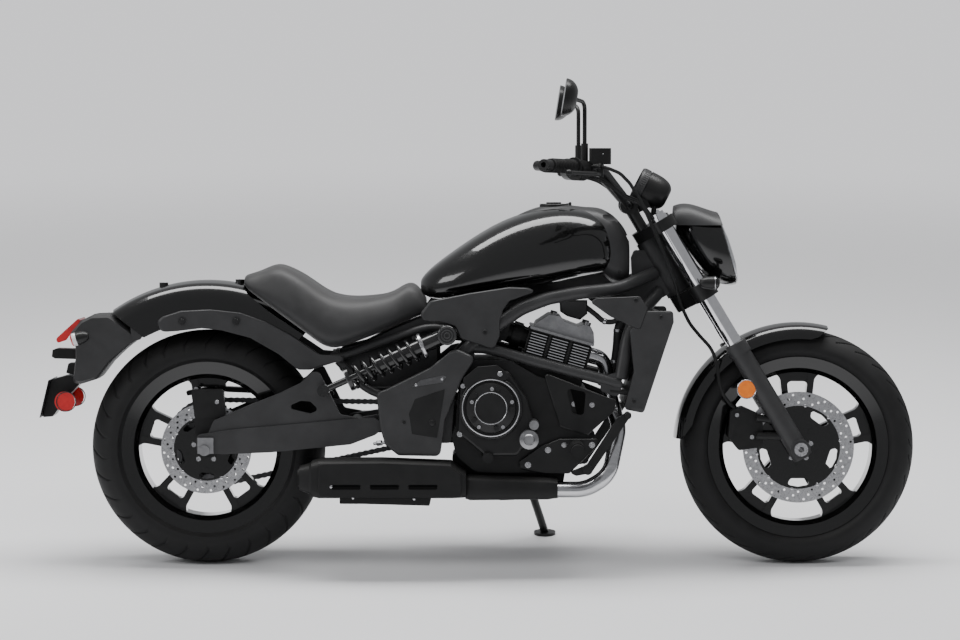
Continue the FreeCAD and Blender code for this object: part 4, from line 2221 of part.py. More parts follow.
def stand_bracket():
    """The fork of lugs under the engine that holds the stand's pin."""
    foot, down, axis = stand_vectors()
    half = stand_eye_thick / 2 + part_gap
    pieces = []
    for side in (-1, 1):
        pieces.append(rod(stand_pivot + axis * (side * half), stand_pivot + axis * (side * (half + stand_lug_thick)),
                          stand_eye_radius))
        root = stand_pivot + axis * (side * (half + stand_lug_thick / 2))
        pieces.append(rod(root, root + V(10.0, -40.0, 36.0), stand_lug_thick))
    pin_half = half + stand_lug_thick + skin
    pin = rod(stand_pivot - axis * pin_half, stand_pivot + axis * pin_half, stand_pin_radius)
    room = rod(stand_pivot - axis * (half), stand_pivot + axis * half, stand_eye_radius + skin)
    lugs = cut(fused(pieces), [room])
    return fused([lugs, pin])


parts = {}


def stand(shape):
    """The machine leant on its stand and centred on the floor."""
    shape = shape.copy()
    shape.rotate(origin, V(1, 0, 0), -lean_deg)
    return shape


def build():
    parts["main_frame"] = main_frame()
    parts["swingarm"] = swingarm()
    parts["rear_axle"] = rear_axle_shaft()
    parts["rear_caliper"] = rear_caliper()
    parts["drive_chain"] = chain()
    parts["chain_guard"] = chain_guard()
    parts["crankcase"] = fused([crankcase(), stand_bracket()])
    parts["engine_covers"] = [clutch_cover(), dynamo_cover(), sprocket_cover(), oil_filler()] + engine_plates()
    parts["engine_fittings"] = small_covers()
    parts["cylinders"] = cylinders()
    parts["head_cover"] = head_cover()
    parts["intake"] = intake()
    parts["radiator"] = radiator()
    parts["radiator_shrouds"] = radiator_shrouds()
    parts["shroud_covers"] = shroud_covers()
    parts["exhaust_headers"] = exhaust_headers()
    parts["muffler"] = fused([muffler(), muffler_cover()])
    parts["fuel_tank"] = fuel_tank()
    parts["tank_trim"] = tank_trim()
    parts["fuel_cap"] = fuel_cap()
    parts["seat"] = seat().cut(tank_body())
    parts["battery_case"] = battery_case()
    parts["rear_mudguard"] = guard_with_bosses()
    parts["mudguard_rails"] = mudguard_rails()
    parts["tail_cowl"] = tail_cowl()
    parts["tail_lenses"] = [tail_light()] + rear_reflectors()
    parts["rear_lamps"] = rear_lamps()
    parts["upper_side_covers"] = upper_side_covers()
    parts["lower_side_covers"] = lower_side_covers()
    parts["shock_absorber"] = shock_absorber()
    parts["shock_spring"] = shock_spring()
    parts["foot_brackets"] = [cut(fused(pair), [small_covers(), parts["crankcase"]])
                              for pair in zip(foot_brackets(), pedals())]
    parts["footpegs"] = footpegs()
    parts["side_stand"] = side_stand()
    parts["front_axle"] = front_axle_shaft()
    parts["fork_tubes"] = fork_tubes()
    parts["fork_lowers"] = fork_lowers()
    parts["triple_clamps"] = triple_clamps()
    parts["handlebar"] = handlebar()
    parts["grips"] = grips()
    parts["bar_controls"] = bar_controls()
    parts["mirrors"] = mirrors()
    parts["mirror_glass"] = mirror_glass()
    parts["instrument"] = instrument()
    parts["headlight_shell"] = headlight_shell()
    parts["headlight_visor"] = headlight_visor()
    parts["headlight_lens"] = headlight_lens()
    parts["front_mudguard"] = front_mudguard()
    parts["front_lamps"] = front_lamps()
    parts["front_caliper"] = front_caliper()
    parts["front_brake_hose"] = front_brake_hose()
    parts["front_rim"] = front_wheel()
    parts["front_tyre"] = front_tyre()
    parts["front_disc"] = front_disc()
    parts["rear_rim"] = rear_wheel()
    parts["rear_tyre"] = rear_tyre()
    parts["rear_disc"] = rear_disc()
    parts["rear_sprocket"] = rear_sprocket()


build()
os.makedirs("parts", exist_ok=True)
placed = {}
for name, shape in parts.items():
    shape = Part.makeCompound(shape) if isinstance(shape, (list, tuple)) else shape
    placed[name] = stand(shape)
reach = placed["rear_lamps"].optimalBoundingBox(False, False)
wide = Part.makeCompound([placed["bar_controls"], placed["mirrors"]]).optimalBoundingBox(False, False)
middle = V((wheelbase + front_tyre_radius + reach.XMin) / 2, (wide.YMin + wide.YMax) / 2, -crown_drop)
for name, shape in placed.items():
    shape.translate(-middle)
    shape.exportStep("parts/" + name + ".step")
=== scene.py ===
import math

import bmesh
import bpy
from mathutils import Matrix, Vector
from mathutils.bvhtree import BVHTree


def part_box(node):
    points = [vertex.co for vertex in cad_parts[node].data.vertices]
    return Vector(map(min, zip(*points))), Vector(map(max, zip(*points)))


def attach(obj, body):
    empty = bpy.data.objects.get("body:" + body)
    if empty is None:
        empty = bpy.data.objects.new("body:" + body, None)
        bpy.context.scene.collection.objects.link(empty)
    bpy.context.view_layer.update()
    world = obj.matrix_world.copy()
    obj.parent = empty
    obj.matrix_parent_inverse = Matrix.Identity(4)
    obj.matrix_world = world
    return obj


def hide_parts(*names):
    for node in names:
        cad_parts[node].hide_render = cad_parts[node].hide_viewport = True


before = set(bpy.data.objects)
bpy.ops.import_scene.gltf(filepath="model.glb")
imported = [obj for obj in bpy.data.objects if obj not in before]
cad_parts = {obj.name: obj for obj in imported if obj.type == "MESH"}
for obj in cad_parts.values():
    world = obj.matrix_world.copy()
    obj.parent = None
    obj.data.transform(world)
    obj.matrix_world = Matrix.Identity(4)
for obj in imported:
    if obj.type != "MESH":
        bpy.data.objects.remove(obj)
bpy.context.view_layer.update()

# The machine leans on its stand. Its own upright frame has x forward from the rear axle, y to the
# left and z up from the ground, in millimetres, and place() turns such a point into the scene's metres.
# Side is -1 on the machine's right, which the picture shows, and 1 on its left.
MM = 0.001
LEAN = math.radians(-8.0)
REAR_AXLE_HEIGHT = 312.0
UP = Matrix.Rotation(LEAN, 3, "X")


def node_centre(node):
    low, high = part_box(node)
    return (low + high) / 2


REAR_HUB = node_centre("rear_tyre")


def place(x, y, z):
    """A point of the upright machine as a point of the scene."""
    return REAR_HUB + UP @ (Vector((x, y, z - REAR_AXLE_HEIGHT)) * MM)


def way(x, y, z):
    """A direction of the upright machine as a direction of the scene."""
    return (UP @ Vector((x, y, z))).normalized()


OUT = way(0, -1, 0)
AXLE = way(0, 1, 0)
AHEAD = way(1, 0, 0)
ABOVE = way(0, 0, 1)


# Camera, floor and light

CAMERA_AWAY = 8800.0
CAMERA_HEIGHT = 1037.2
AIM_X = 726.5
AIM_HEIGHT = 649.0
SHOWN_WIDTH = 2569.0
SENSOR = 36.0
CLIP_NEAR, CLIP_FAR = 0.1, 100.0

FLOOR_REACH, FLOOR_SIDES = 24.0, 96
FLOOR_PLAIN, FLOOR_GONE = 2.6, 8.0
PAPER_TONE, PAPER_ROUGH = (0.80, 0.80, 0.81, 1), 0.85
AIR_TONE, AIR_LIGHT = (0.80, 0.81, 0.83, 1), 0.42
BACKDROP_TONE, BACKDROP_LIGHT = (0.80, 0.80, 0.82, 1), 1.24

# Name, power in watts, width and height, place and aim in metres, and whether it shows in reflections.
SOFT_LIGHTS = (
    ("top_box", 270.0, (5.4, 1.6), (0.0, 0.4, 4.2), (0.0, 0.0, 0.4), True),
    ("near_box", 80.0, (5.0, 1.4), (0.6, -3.6, 4.4), (0.1, 0.0, 0.5), False),
    ("far_box", 70.0, (5.0, 1.0), (-0.2, 4.6, 3.6), (0.1, 0.0, 0.5), False),
    ("rear_box", 45.0, (2.4, 1.2), (-4.2, -2.0, 2.8), (-0.3, 0.0, 0.5), True),
)


def show(thing):
    bpy.context.scene.collection.objects.link(thing)
    return thing


def wire(tree, *runs):
    """Joins sockets: each run names a node and its output, then the next node and its input."""
    for source, given, target, taken in runs:
        tree.links.new(source.outputs[given], target.inputs[taken])


def set_inputs(node, **values):
    """Sets a node's inputs by their names, with _ for a space."""
    for label, value in values.items():
        node.inputs[label.replace("_", " ")].default_value = value
    return node


def add_node(tree, kind, **values):
    return set_inputs(tree.nodes.new("ShaderNode" + kind), **values)


def new_material(name):
    material = bpy.data.materials.new(name)
    material.use_nodes = True
    tree = material.node_tree
    return material, tree, tree.nodes["Principled BSDF"]


def make_camera():
    """The photograph's camera: square to the leaning machine's right side, a little above its middle."""
    data = bpy.data.cameras.new("studio_camera")
    data.sensor_width = SENSOR
    data.lens = SENSOR * CAMERA_AWAY / SHOWN_WIDTH
    data.clip_start, data.clip_end = CLIP_NEAR, CLIP_FAR
    camera = show(bpy.data.objects.new("studio_camera", data))
    eye = place(AIM_X, -CAMERA_AWAY, CAMERA_HEIGHT)
    forward = (place(AIM_X, 0, AIM_HEIGHT) - eye).normalized()
    right = forward.cross(ABOVE).normalized()
    upward = right.cross(forward)
    turn = Matrix((right, upward, -forward)).transposed()
    camera.matrix_world = Matrix.Translation(eye) @ turn.to_4x4()
    bpy.context.scene.camera = camera


def soft_light(name, power, size, spot, target, mirrored):
    data = bpy.data.lights.new(name, "AREA")
    data.energy = power
    data.shape = "RECTANGLE"
    data.size, data.size_y = size
    light = show(bpy.data.objects.new(name, data))
    light.location = spot
    light.visible_glossy = mirrored
    light.rotation_euler = (Vector(target) - Vector(spot)).to_track_quat("-Z", "Y").to_euler()


def make_floor():
    """A pale floor all round the machine that fades into the air before its edge."""
    mesh = bpy.data.meshes.new("studio_floor")
    shape = bmesh.new()
    bmesh.ops.create_circle(shape, cap_ends=True, segments=FLOOR_SIDES, radius=FLOOR_REACH)
    shape.to_mesh(mesh)
    shape.free()
    floor = show(bpy.data.objects.new("studio_floor", mesh))
    material, tree, shader = new_material("studio_paper")
    set_inputs(shader, Base_Color=PAPER_TONE, Roughness=PAPER_ROUGH)
    here, away = add_node(tree, "TexCoord"), add_node(tree, "VectorMath")
    away.operation = "LENGTH"
    fade = add_node(tree, "MapRange", From_Min=FLOOR_PLAIN, From_Max=FLOOR_GONE, To_Min=1.0, To_Max=0.0)
    fade.interpolation_type = "SMOOTHSTEP"
    wire(tree, (here, "Object", away, 0), (away, "Value", fade, "Value"), (fade, "Result", shader, "Alpha"))
    mesh.materials.append(material)


def make_air():
    """Soft light from all round, shown to the camera as a pale backdrop."""
    world = bpy.data.worlds.new("studio_air")
    bpy.context.scene.world = world
    world.use_nodes = True
    tree = world.node_tree
    light = set_inputs(tree.nodes["Background"], Color=AIR_TONE, Strength=AIR_LIGHT)
    shown = add_node(tree, "Background", Color=BACKDROP_TONE, Strength=BACKDROP_LIGHT)
    path, mix = add_node(tree, "LightPath"), add_node(tree, "MixShader")
    wire(tree, (path, "Is Camera Ray", mix, "Fac"), (light, "Background", mix, 1),
         (shown, "Background", mix, 2), (mix, "Shader", tree.nodes["World Output"], "Surface"))


# Effects that several finishes share

def group_tree(name, inputs, outputs):
    """An empty shader group with its sockets; returns the tree and its two end nodes."""
    tree = bpy.data.node_groups.new(name, "ShaderNodeTree")
    for direction, sockets in (("INPUT", inputs), ("OUTPUT", outputs)):
        for label, kind in sockets.items():
            tree.interface.new_socket(label, in_out=direction, socket_type="NodeSocket" + kind)
    return tree, tree.nodes.new("NodeGroupInput"), tree.nodes.new("NodeGroupOutput")


def make_mottle():
    """Two tones and two roughnesses that drift into each other, as paint and castings do."""
    tree, start, end = group_tree(
        "mottle", {"Vector": "Vector", "Scale": "Float", "Tone A": "Color", "Tone B": "Color", "Smooth": "Float",
                   "Rough": "Float"}, {"Color": "Color", "Roughness": "Float"})
    noise = add_node(tree, "TexNoise", Detail=6.0, Roughness=0.62)
    tones = add_node(tree, "Mix")
    tones.data_type = "RGBA"
    rough, spread = add_node(tree, "MapRange"), add_node(tree, "MapRange", From_Min=0.32, From_Max=0.68)
    wire(tree, (start, "Vector", noise, "Vector"), (start, "Scale", noise, "Scale"), (noise, "Fac", spread, "Value"),
         (spread, "Result", tones, "Factor"), (start, "Tone A", tones, "A"), (start, "Tone B", tones, "B"),
         (spread, "Result", rough, "Value"), (start, "Smooth", rough, "To Min"), (start, "Rough", rough, "To Max"),
         (tones, "Result", end, "Color"), (rough, "Result", end, "Roughness"))
    return tree


def make_grain():
    """A fine raised skin: orange peel in paint, sand in castings, pores in rubber."""
    tree, start, end = group_tree(
        "grain", {"Vector": "Vector", "Scale": "Float", "Strength": "Float", "Depth": "Float"}, {"Normal": "Vector"})
    noise, bump = add_node(tree, "TexNoise", Detail=3.0), add_node(tree, "Bump")
    wire(tree, (start, "Vector", noise, "Vector"), (start, "Scale", noise, "Scale"),
         (start, "Strength", bump, "Strength"), (start, "Depth", bump, "Distance"), (noise, "Fac", bump, "Height"),
         (bump, "Normal", end, "Normal"))
    return tree


def make_dust():
    """Dust that settles on what faces up, thicker in patches."""
    tree, start, end = group_tree(
        "dust", {"Vector": "Vector", "Color": "Color", "Roughness": "Float", "Amount": "Float"},
        {"Color": "Color", "Roughness": "Float"})
    geometry, axes = add_node(tree, "NewGeometry"), add_node(tree, "SeparateXYZ")
    noise = add_node(tree, "TexNoise", Scale=14.0, Detail=5.0)
    facing = add_node(tree, "MapRange", From_Min=0.1, From_Max=1.0)
    patches, amount = add_node(tree, "Math"), add_node(tree, "Math")
    patches.operation = amount.operation = "MULTIPLY"
    tones = add_node(tree, "Mix")
    tones.data_type = "RGBA"
    set_inputs(tones, B=(0.32, 0.31, 0.29, 1))
    rough = add_node(tree, "Mix", B=0.8)
    wire(tree, (geometry, "Normal", axes, "Vector"), (axes, "Z", facing, "Value"),
         (start, "Vector", noise, "Vector"), (facing, "Result", patches, 0), (noise, "Fac", patches, 1),
         (patches, "Value", amount, 0), (start, "Amount", amount, 1),
         (amount, "Value", tones, "Factor"), (amount, "Value", rough, "Factor"),
         (start, "Color", tones, "A"), (start, "Roughness", rough, "A"),
         (tones, "Result", end, "Color"), (rough, "Result", end, "Roughness"))
    return tree


MOTTLE = make_mottle()
GRAIN = make_grain()
DUST = make_dust()


# Finishes

IOR = 1.45
COOL = 1.03


def grey(*values):
    """Neutral tones, a touch cool."""
    return tuple((value, value, value * COOL) for value in values)


def use_group(tree, group, **values):
    node = tree.nodes.new("ShaderNodeGroup")
    node.node_tree = group
    return set_inputs(node, **values)


def surface(name, tones, smooth, rough, mottle_scale, grain_scale, grain_strength, metallic=0.0,
            grain_depth=0.0002, dust=0.0, coat=0.0, coat_rough=0.03, stretch=(1, 1, 1), sheen=0.0, specular=0.5):
    """A finish from the shared groups: drifting tones, a fine skin and a little settled dust."""
    material, tree, shader = new_material(name)
    coordinates, mapping = add_node(tree, "TexCoord"), add_node(tree, "Mapping", Scale=stretch)
    mottle = use_group(tree, MOTTLE, Scale=mottle_scale, Tone_A=(*tones[0], 1), Tone_B=(*tones[1], 1),
                       Smooth=smooth, Rough=rough)
    skin = use_group(tree, GRAIN, Scale=grain_scale, Strength=grain_strength, Depth=grain_depth)
    wire(tree, (coordinates, "Object", mapping, "Vector"), (mapping, "Vector", mottle, "Vector"),
         (mapping, "Vector", skin, "Vector"))
    last = mottle
    if dust:
        last = use_group(tree, DUST, Amount=dust)
        wire(tree, (coordinates, "Object", last, "Vector"), (mottle, "Color", last, "Color"),
             (mottle, "Roughness", last, "Roughness"))
    wire(tree, (last, "Color", shader, "Base Color"), (last, "Roughness", shader, "Roughness"),
         (skin, "Normal", shader, "Normal"))
    set_inputs(shader, Metallic=metallic, IOR=IOR, Specular_IOR_Level=specular, Coat_Weight=coat,
               Coat_Roughness=coat_rough, Sheen_Weight=sheen)
    return material


def clear_lens():
    material, tree, shader = new_material("clear_lens")
    set_inputs(shader, Base_Color=(0.94, 0.95, 0.96, 1), Roughness=0.02, IOR=IOR, Transmission_Weight=1.0)
    return material


METAL, GLAZED = dict(metallic=1.0), dict(coat=1.0)
# Both tones, least and most rough, the scales of the drift and of the grain, the grain's strength, and the rest.
FINISH_ROWS = {
    "gloss_black": (grey(0.0012, 0.0024), 0.16, 0.23, 260.0, 900.0, 0.02,
                    dict(dust=0.015, coat=0.9, coat_rough=0.02, specular=0.4)),
    "satin_gunmetal": (grey(0.034, 0.044), 0.38, 0.46, 18.0, 1500.0, 0.10,
                       dict(metallic=0.2, dust=0.03, specular=0.4)),
    "satin_black": (grey(0.007, 0.011), 0.32, 0.42, 18.0, 1100.0, 0.12,
                    dict(dust=0.04, coat=0.1, coat_rough=0.25, specular=0.35)),
    "cast_black": (grey(0.006, 0.010), 0.38, 0.50, 40.0, 1400.0, 0.35,
                   dict(grain_depth=0.0003, dust=0.05, specular=0.35)),
    "moulded_black": (grey(0.030, 0.038), 0.50, 0.60, 18.0, 2200.0, 0.30, dict(dust=0.05, specular=0.3)),
    "heat_black": (grey(0.007, 0.011), 0.46, 0.58, 18.0, 2600.0, 0.25, dict(dust=0.05, specular=0.3)),
    "cast_alloy": (grey(0.27, 0.36), 0.30, 0.42, 60.0, 1600.0, 0.25, METAL),
    "polished_alloy": (grey(0.62, 0.74), 0.14, 0.24, 80.0, 1200.0, 0.06, METAL),
    "brushed_steel": (grey(0.52, 0.64), 0.18, 0.28, 90.0, 900.0, 0.08, dict(METAL, stretch=(0.1, 1, 1))),
    "polished_chrome": (grey(0.74, 0.82), 0.04, 0.08, 60.0, 700.0, 0.01, METAL),
    "ground_steel": (grey(0.46, 0.58), 0.24, 0.34, 160.0, 2200.0, 0.12, METAL),
    "bolt_steel": (grey(0.50, 0.62), 0.20, 0.30, 160.0, 2000.0, 0.08, METAL),
    "black_screw": (grey(0.010, 0.016), 0.30, 0.40, 120.0, 1500.0, 0.10, {}),
    "dark_steel": (grey(0.10, 0.17), 0.30, 0.42, 120.0, 1500.0, 0.15, dict(METAL, dust=0.04)),
    "spring_black": (grey(0.008, 0.012), 0.14, 0.22, 60.0, 1000.0, 0.05, dict(coat=0.5)),
    "seat_vinyl": (grey(0.022, 0.029), 0.44, 0.54, 30.0, 900.0, 0.45,
                   dict(grain_depth=0.0003, dust=0.05, sheen=0.1, specular=0.4)),
    "grip_rubber": (grey(0.007, 0.011), 0.55, 0.68, 18.0, 1800.0, 0.30, dict(dust=0.04, specular=0.3)),
    "tyre_rubber": (grey(0.008, 0.013), 0.56, 0.70, 26.0, 1300.0, 0.30, dict(dust=0.05, specular=0.3)),
    "mirror_face": (grey(0.86, 0.88), 0.01, 0.02, 18.0, 700.0, 0.0, METAL),
    "red_lens": (((0.42, 0.008, 0.010), (0.52, 0.015, 0.015)), 0.10, 0.16, 60.0, 240.0, 0.20, GLAZED),
    "red_switch": (((0.50, 0.012, 0.010), (0.58, 0.02, 0.015)), 0.30, 0.38, 60.0, 900.0, 0.05, {}),
    "amber_lens": (((0.80, 0.16, 0.006), (0.90, 0.22, 0.01)), 0.10, 0.16, 60.0, 240.0, 0.20, GLAZED),
    "white_lens": (grey(0.62, 0.72), 0.10, 0.16, 60.0, 240.0, 0.20, GLAZED),
    "dial_glass": (grey(0.006, 0.010), 0.04, 0.08, 60.0, 700.0, 0.0, GLAZED),
    # Near-black with almost no shine: painted shade, a sheet that stands for the darkness inside slots and openings.
    "dark_gap": (grey(0.002, 0.003), 0.70, 0.80, 18.0, 1500.0, 0.1, dict(specular=0.1)),
    "strip_alloy": (grey(0.13, 0.17), 0.30, 0.38, 90.0, 1600.0, 0.08, METAL),
    "pale_mark": (grey(0.55, 0.62), 0.45, 0.55, 18.0, 1500.0, 0.05, {}),
}
FINISHES = {name: surface(name, *row, **rest) for name, (*row, rest) in FINISH_ROWS.items()}
FINISHES["clear_lens"] = clear_lens()

NODE_FINISH = {
    "gloss_black": ("fuel_tank", "rear_mudguard", "front_rim", "rear_rim", "headlight_shell", "front_mudguard"),
    "satin_gunmetal": ("mudguard_rails", "upper_side_covers", "lower_side_covers", "swingarm", "main_frame",
                       "fork_lowers", "shroud_covers", "tank_trim", "headlight_visor", "radiator_shrouds"),
    "satin_black": ("handlebar", "triple_clamps", "side_stand", "mirrors", "instrument", "bar_controls",
                    "foot_brackets", "front_lamps", "rear_lamps", "chain_guard", "engine_covers", "fuel_cap"),
    "cast_black": ("crankcase", "cylinders", "intake", "radiator", "rear_caliper", "front_caliper"),
    "moulded_black": ("tail_cowl", "battery_case"),
    "spring_black": ("shock_spring", "shock_absorber"),
    "heat_black": ("muffler",),
    "cast_alloy": ("head_cover", "engine_fittings", "rear_axle"),
    "brushed_steel": ("exhaust_headers",),
    "polished_chrome": ("fork_tubes",),
    "ground_steel": ("front_disc", "rear_disc", "front_axle"),
    "dark_steel": ("rear_sprocket", "drive_chain"),
    "seat_vinyl": ("seat",),
    "grip_rubber": ("grips", "footpegs", "front_brake_hose"),
    "tyre_rubber": ("front_tyre", "rear_tyre"),
    "mirror_face": ("mirror_glass",),
    "red_lens": ("tail_lenses",),
    "clear_lens": ("headlight_lens",),
}


def finish_nodes():
    for finish, nodes in NODE_FINISH.items():
        for node in nodes:
            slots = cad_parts[node].data.materials
            slots.clear()
            slots.append(FINISHES[finish])


# Sight lines and surfaces

FRAME_WIDTH, FRAME_HEIGHT = 960, 640
SIDE_START = 600.0
TREES = {}


def surface_tree(node):
    """The node's surface, ready for rays, and kept for the next question."""
    if node not in TREES:
        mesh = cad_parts[node].data
        TREES[node] = BVHTree.FromPolygons([v.co.copy() for v in mesh.vertices],
                                           [tuple(p.vertices) for p in mesh.polygons])
    return TREES[node]


def struck(start, direction, *nodes):
    """Where a ray first meets any of the nodes, and the way that surface faces; None where it misses."""
    best = None
    for node in nodes:
        spot, normal, index, distance = surface_tree(node).ray_cast(start, direction)
        if spot is not None and (best is None or distance < best[2]):
            best = (spot, normal if normal.dot(direction) < 0 else -normal, distance)
    return best[:2] if best else None


def seen(u, v, *nodes):
    """The surface that shows at a place of the picture, u pixels across and v down."""
    camera = bpy.context.scene.camera.matrix_world
    across = (u - FRAME_WIDTH / 2) / FRAME_WIDTH * SHOWN_WIDTH / CAMERA_AWAY
    down = (v - FRAME_HEIGHT / 2) / FRAME_WIDTH * SHOWN_WIDTH / CAMERA_AWAY
    return struck(camera.translation, (camera.to_3x3() @ Vector((across, -down, -1))).normalized(), *nodes)


def side_hit(x, z, *nodes, side=-1):
    """The outermost surface at a place of the upright machine, looked at square from its right or left side."""
    return struck(place(x, side * SIDE_START, z), way(0, -side, 0), *nodes)


def deep(found, x, z):
    """How far out from the machine's middle plane a found spot lies, in millimetres."""
    return (found[0] - place(x, 0, z)).dot(OUT) / MM


# Small closed shapes, gathered by body and finish

FOOT = 0.6
SHARP = 32.0
GATHERED = {}


class Gathered:
    """Closed shapes that become one mesh."""

    def __init__(self):
        self.points, self.faces = [], []

    def point(self, spot):
        self.points.append(spot)
        return len(self.points) - 1

    def bridge(self, first, second):
        """Faces between two closed rings, either of which may be a single point."""
        count = max(len(first), len(second))
        for i in range(count):
            j = (i + 1) % count
            if len(first) == 1:
                self.faces.append((first[0], second[i], second[j]))
            elif len(second) == 1:
                self.faces.append((first[i], first[j], second[0]))
            else:
                self.faces.append((first[i], first[j], second[j], second[i]))

    def turned(self, centre, axis, profile, count=20):
        """A turned shape: rows of radius, height along the axis and, for a ring with flats, their number."""
        axis = axis.normalized()
        across = axis.orthogonal().normalized()
        other = axis.cross(across)
        rings = []
        for radius, height, *flats in profile:
            middle = centre + axis * (height * MM)
            if radius == 0:
                rings.append([self.point(middle)])
                continue
            ring = []
            for i in range(count):
                angle = 2 * math.pi * i / count
                reach = radius
                if flats:
                    step = 2 * math.pi / flats[0]
                    reach = radius * math.cos(step / 2) / math.cos(angle % step - step / 2)
                out = across * math.cos(angle) + other * math.sin(angle)
                ring.append(self.point(middle + out * (reach * MM)))
            rings.append(ring)
        for first, second in zip(rings, rings[1:]):
            self.bridge(first, second)

    def tube(self, knots, radius, count=10, steps=8):
        """A round tube along a smooth line through the knots, closed at its ends."""
        line = smooth_line(knots, steps)
        rings = []
        across = None
        for i, spot in enumerate(line):
            ahead = (line[min(i + 1, len(line) - 1)] - line[max(i - 1, 0)]).normalized()
            if across is None:
                across = ahead.orthogonal().normalized()
            across = (across - ahead * across.dot(ahead)).normalized()
            other = ahead.cross(across)
            rings.append([self.point(spot + (across * math.cos(2 * math.pi * k / count)
                                             + other * math.sin(2 * math.pi * k / count)) * (radius * MM))
                          for k in range(count)])
        self.bridge([self.point(line[0])], rings[0])
        for first, second in zip(rings, rings[1:]):
            self.bridge(first, second)
        self.bridge(rings[-1], [self.point(line[-1])])

    def slab(self, corners, out, height, chamfer=0.4):
        """A thin plate on a flat outline of scene points, raised along out, with a chamfered rim."""
        middle = sum(corners, Vector()) / len(corners)
        low = [self.point(c - out * (FOOT * MM)) for c in corners]
        rim = [self.point(c + out * ((height - chamfer) * MM)) for c in corners]
        top = [self.point(c + (middle - c).normalized() * (chamfer * MM) + out * (height * MM)) for c in corners]
        self.bridge(low, rim)
        self.bridge(rim, top)
        self.faces.append(tuple(reversed(low)))
        self.faces.append(tuple(top))


def smooth_line(knots, steps):
    """Points along a curve that passes through every knot."""
    line = []
    for i in range(len(knots) - 1):
        p = [knots[max(i - 1, 0)], knots[i], knots[i + 1], knots[min(i + 2, len(knots) - 1)]]
        for k in range(steps):
            t = k / steps
            line.append(0.5 * (2 * p[1] + (p[2] - p[0]) * t + (2 * p[0] - 5 * p[1] + 4 * p[2] - p[3]) * t * t
                               + (3 * p[1] - p[0] - 3 * p[2] + p[3]) * t * t * t))
    return line + [knots[-1]]


def batch(body, finish, label):
    """The shapes of one body and finish that are gathered under a name."""
    return GATHERED.setdefault((body, finish, label), Gathered())


def new_piece(name, points, faces, finish, body, sharp=SHARP):
    """A mesh in the scene's metres, shaded smooth but for its sharp edges, that rides on a body."""
    mesh = bpy.data.meshes.new(name)
    mesh.from_pydata(points, [], faces)
    form = bmesh.new()
    form.from_mesh(mesh)
    bmesh.ops.recalc_face_normals(form, faces=form.faces)
    form.to_mesh(mesh)
    form.free()
    mesh.shade_smooth()
    mesh.set_sharp_from_angle(angle=math.radians(sharp))
    piece = show(bpy.data.objects.new(name, mesh))
    mesh.materials.append(FINISHES[finish])
    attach(piece, body)
    return piece


def make_gathered():
    for (body, finish, label), gathered in GATHERED.items():
        new_piece(label, gathered.points, gathered.faces, finish, body)


# Fasteners. Their profiles are shares of the head's radius and height, and start inside what carries them.

SCREW_SUNK, BUTTON_SUNK = -1.5, -1.2
WASHER_SHARE, WASHER_THICK = 1.35, 0.9


def socket_screw(body, label, spot, axis, radius, height=4.0, finish="bolt_steel"):
    """A round head with a six-sided socket."""
    batch(body, finish, label).turned(spot, axis, (
        (0, SCREW_SUNK), (radius, SCREW_SUNK), (radius, height * 0.82), (radius * 0.9, height),
        (radius * 0.56, height, 6), (radius * 0.56, height * 0.3, 6), (0, height * 0.3)), 24)


def hex_bolt(body, label, spot, axis, radius, height=5.0, finish="bolt_steel"):
    """A six-sided head on its washer."""
    washer = radius * WASHER_SHARE
    batch(body, finish, label).turned(spot, axis, (
        (0, SCREW_SUNK), (washer, SCREW_SUNK), (washer, WASHER_THICK), (radius, WASHER_THICK + 0.1, 6),
        (radius, height * 0.85, 6), (radius * 0.84, height), (0, height)), 24)


def button(body, label, spot, axis, radius, height=2.0, finish="bolt_steel"):
    """A domed head."""
    batch(body, finish, label).turned(spot, axis, (
        (0, BUTTON_SUNK), (radius, BUTTON_SUNK), (radius, height * 0.3), (radius * 0.82, height * 0.78),
        (radius * 0.42, height), (0, height)), 18)


def fix_seen(kind, body, label, nodes, rows, axis=OUT, **sizes):
    """Fasteners at places of the picture, each seated on the surface that shows there."""
    for u, v, radius in rows:
        found = seen(u, v, *nodes)
        if found is None:
            print("nothing carries", label, u, v)
            continue
        kind(body, label, found[0], axis or found[1], radius, **sizes)


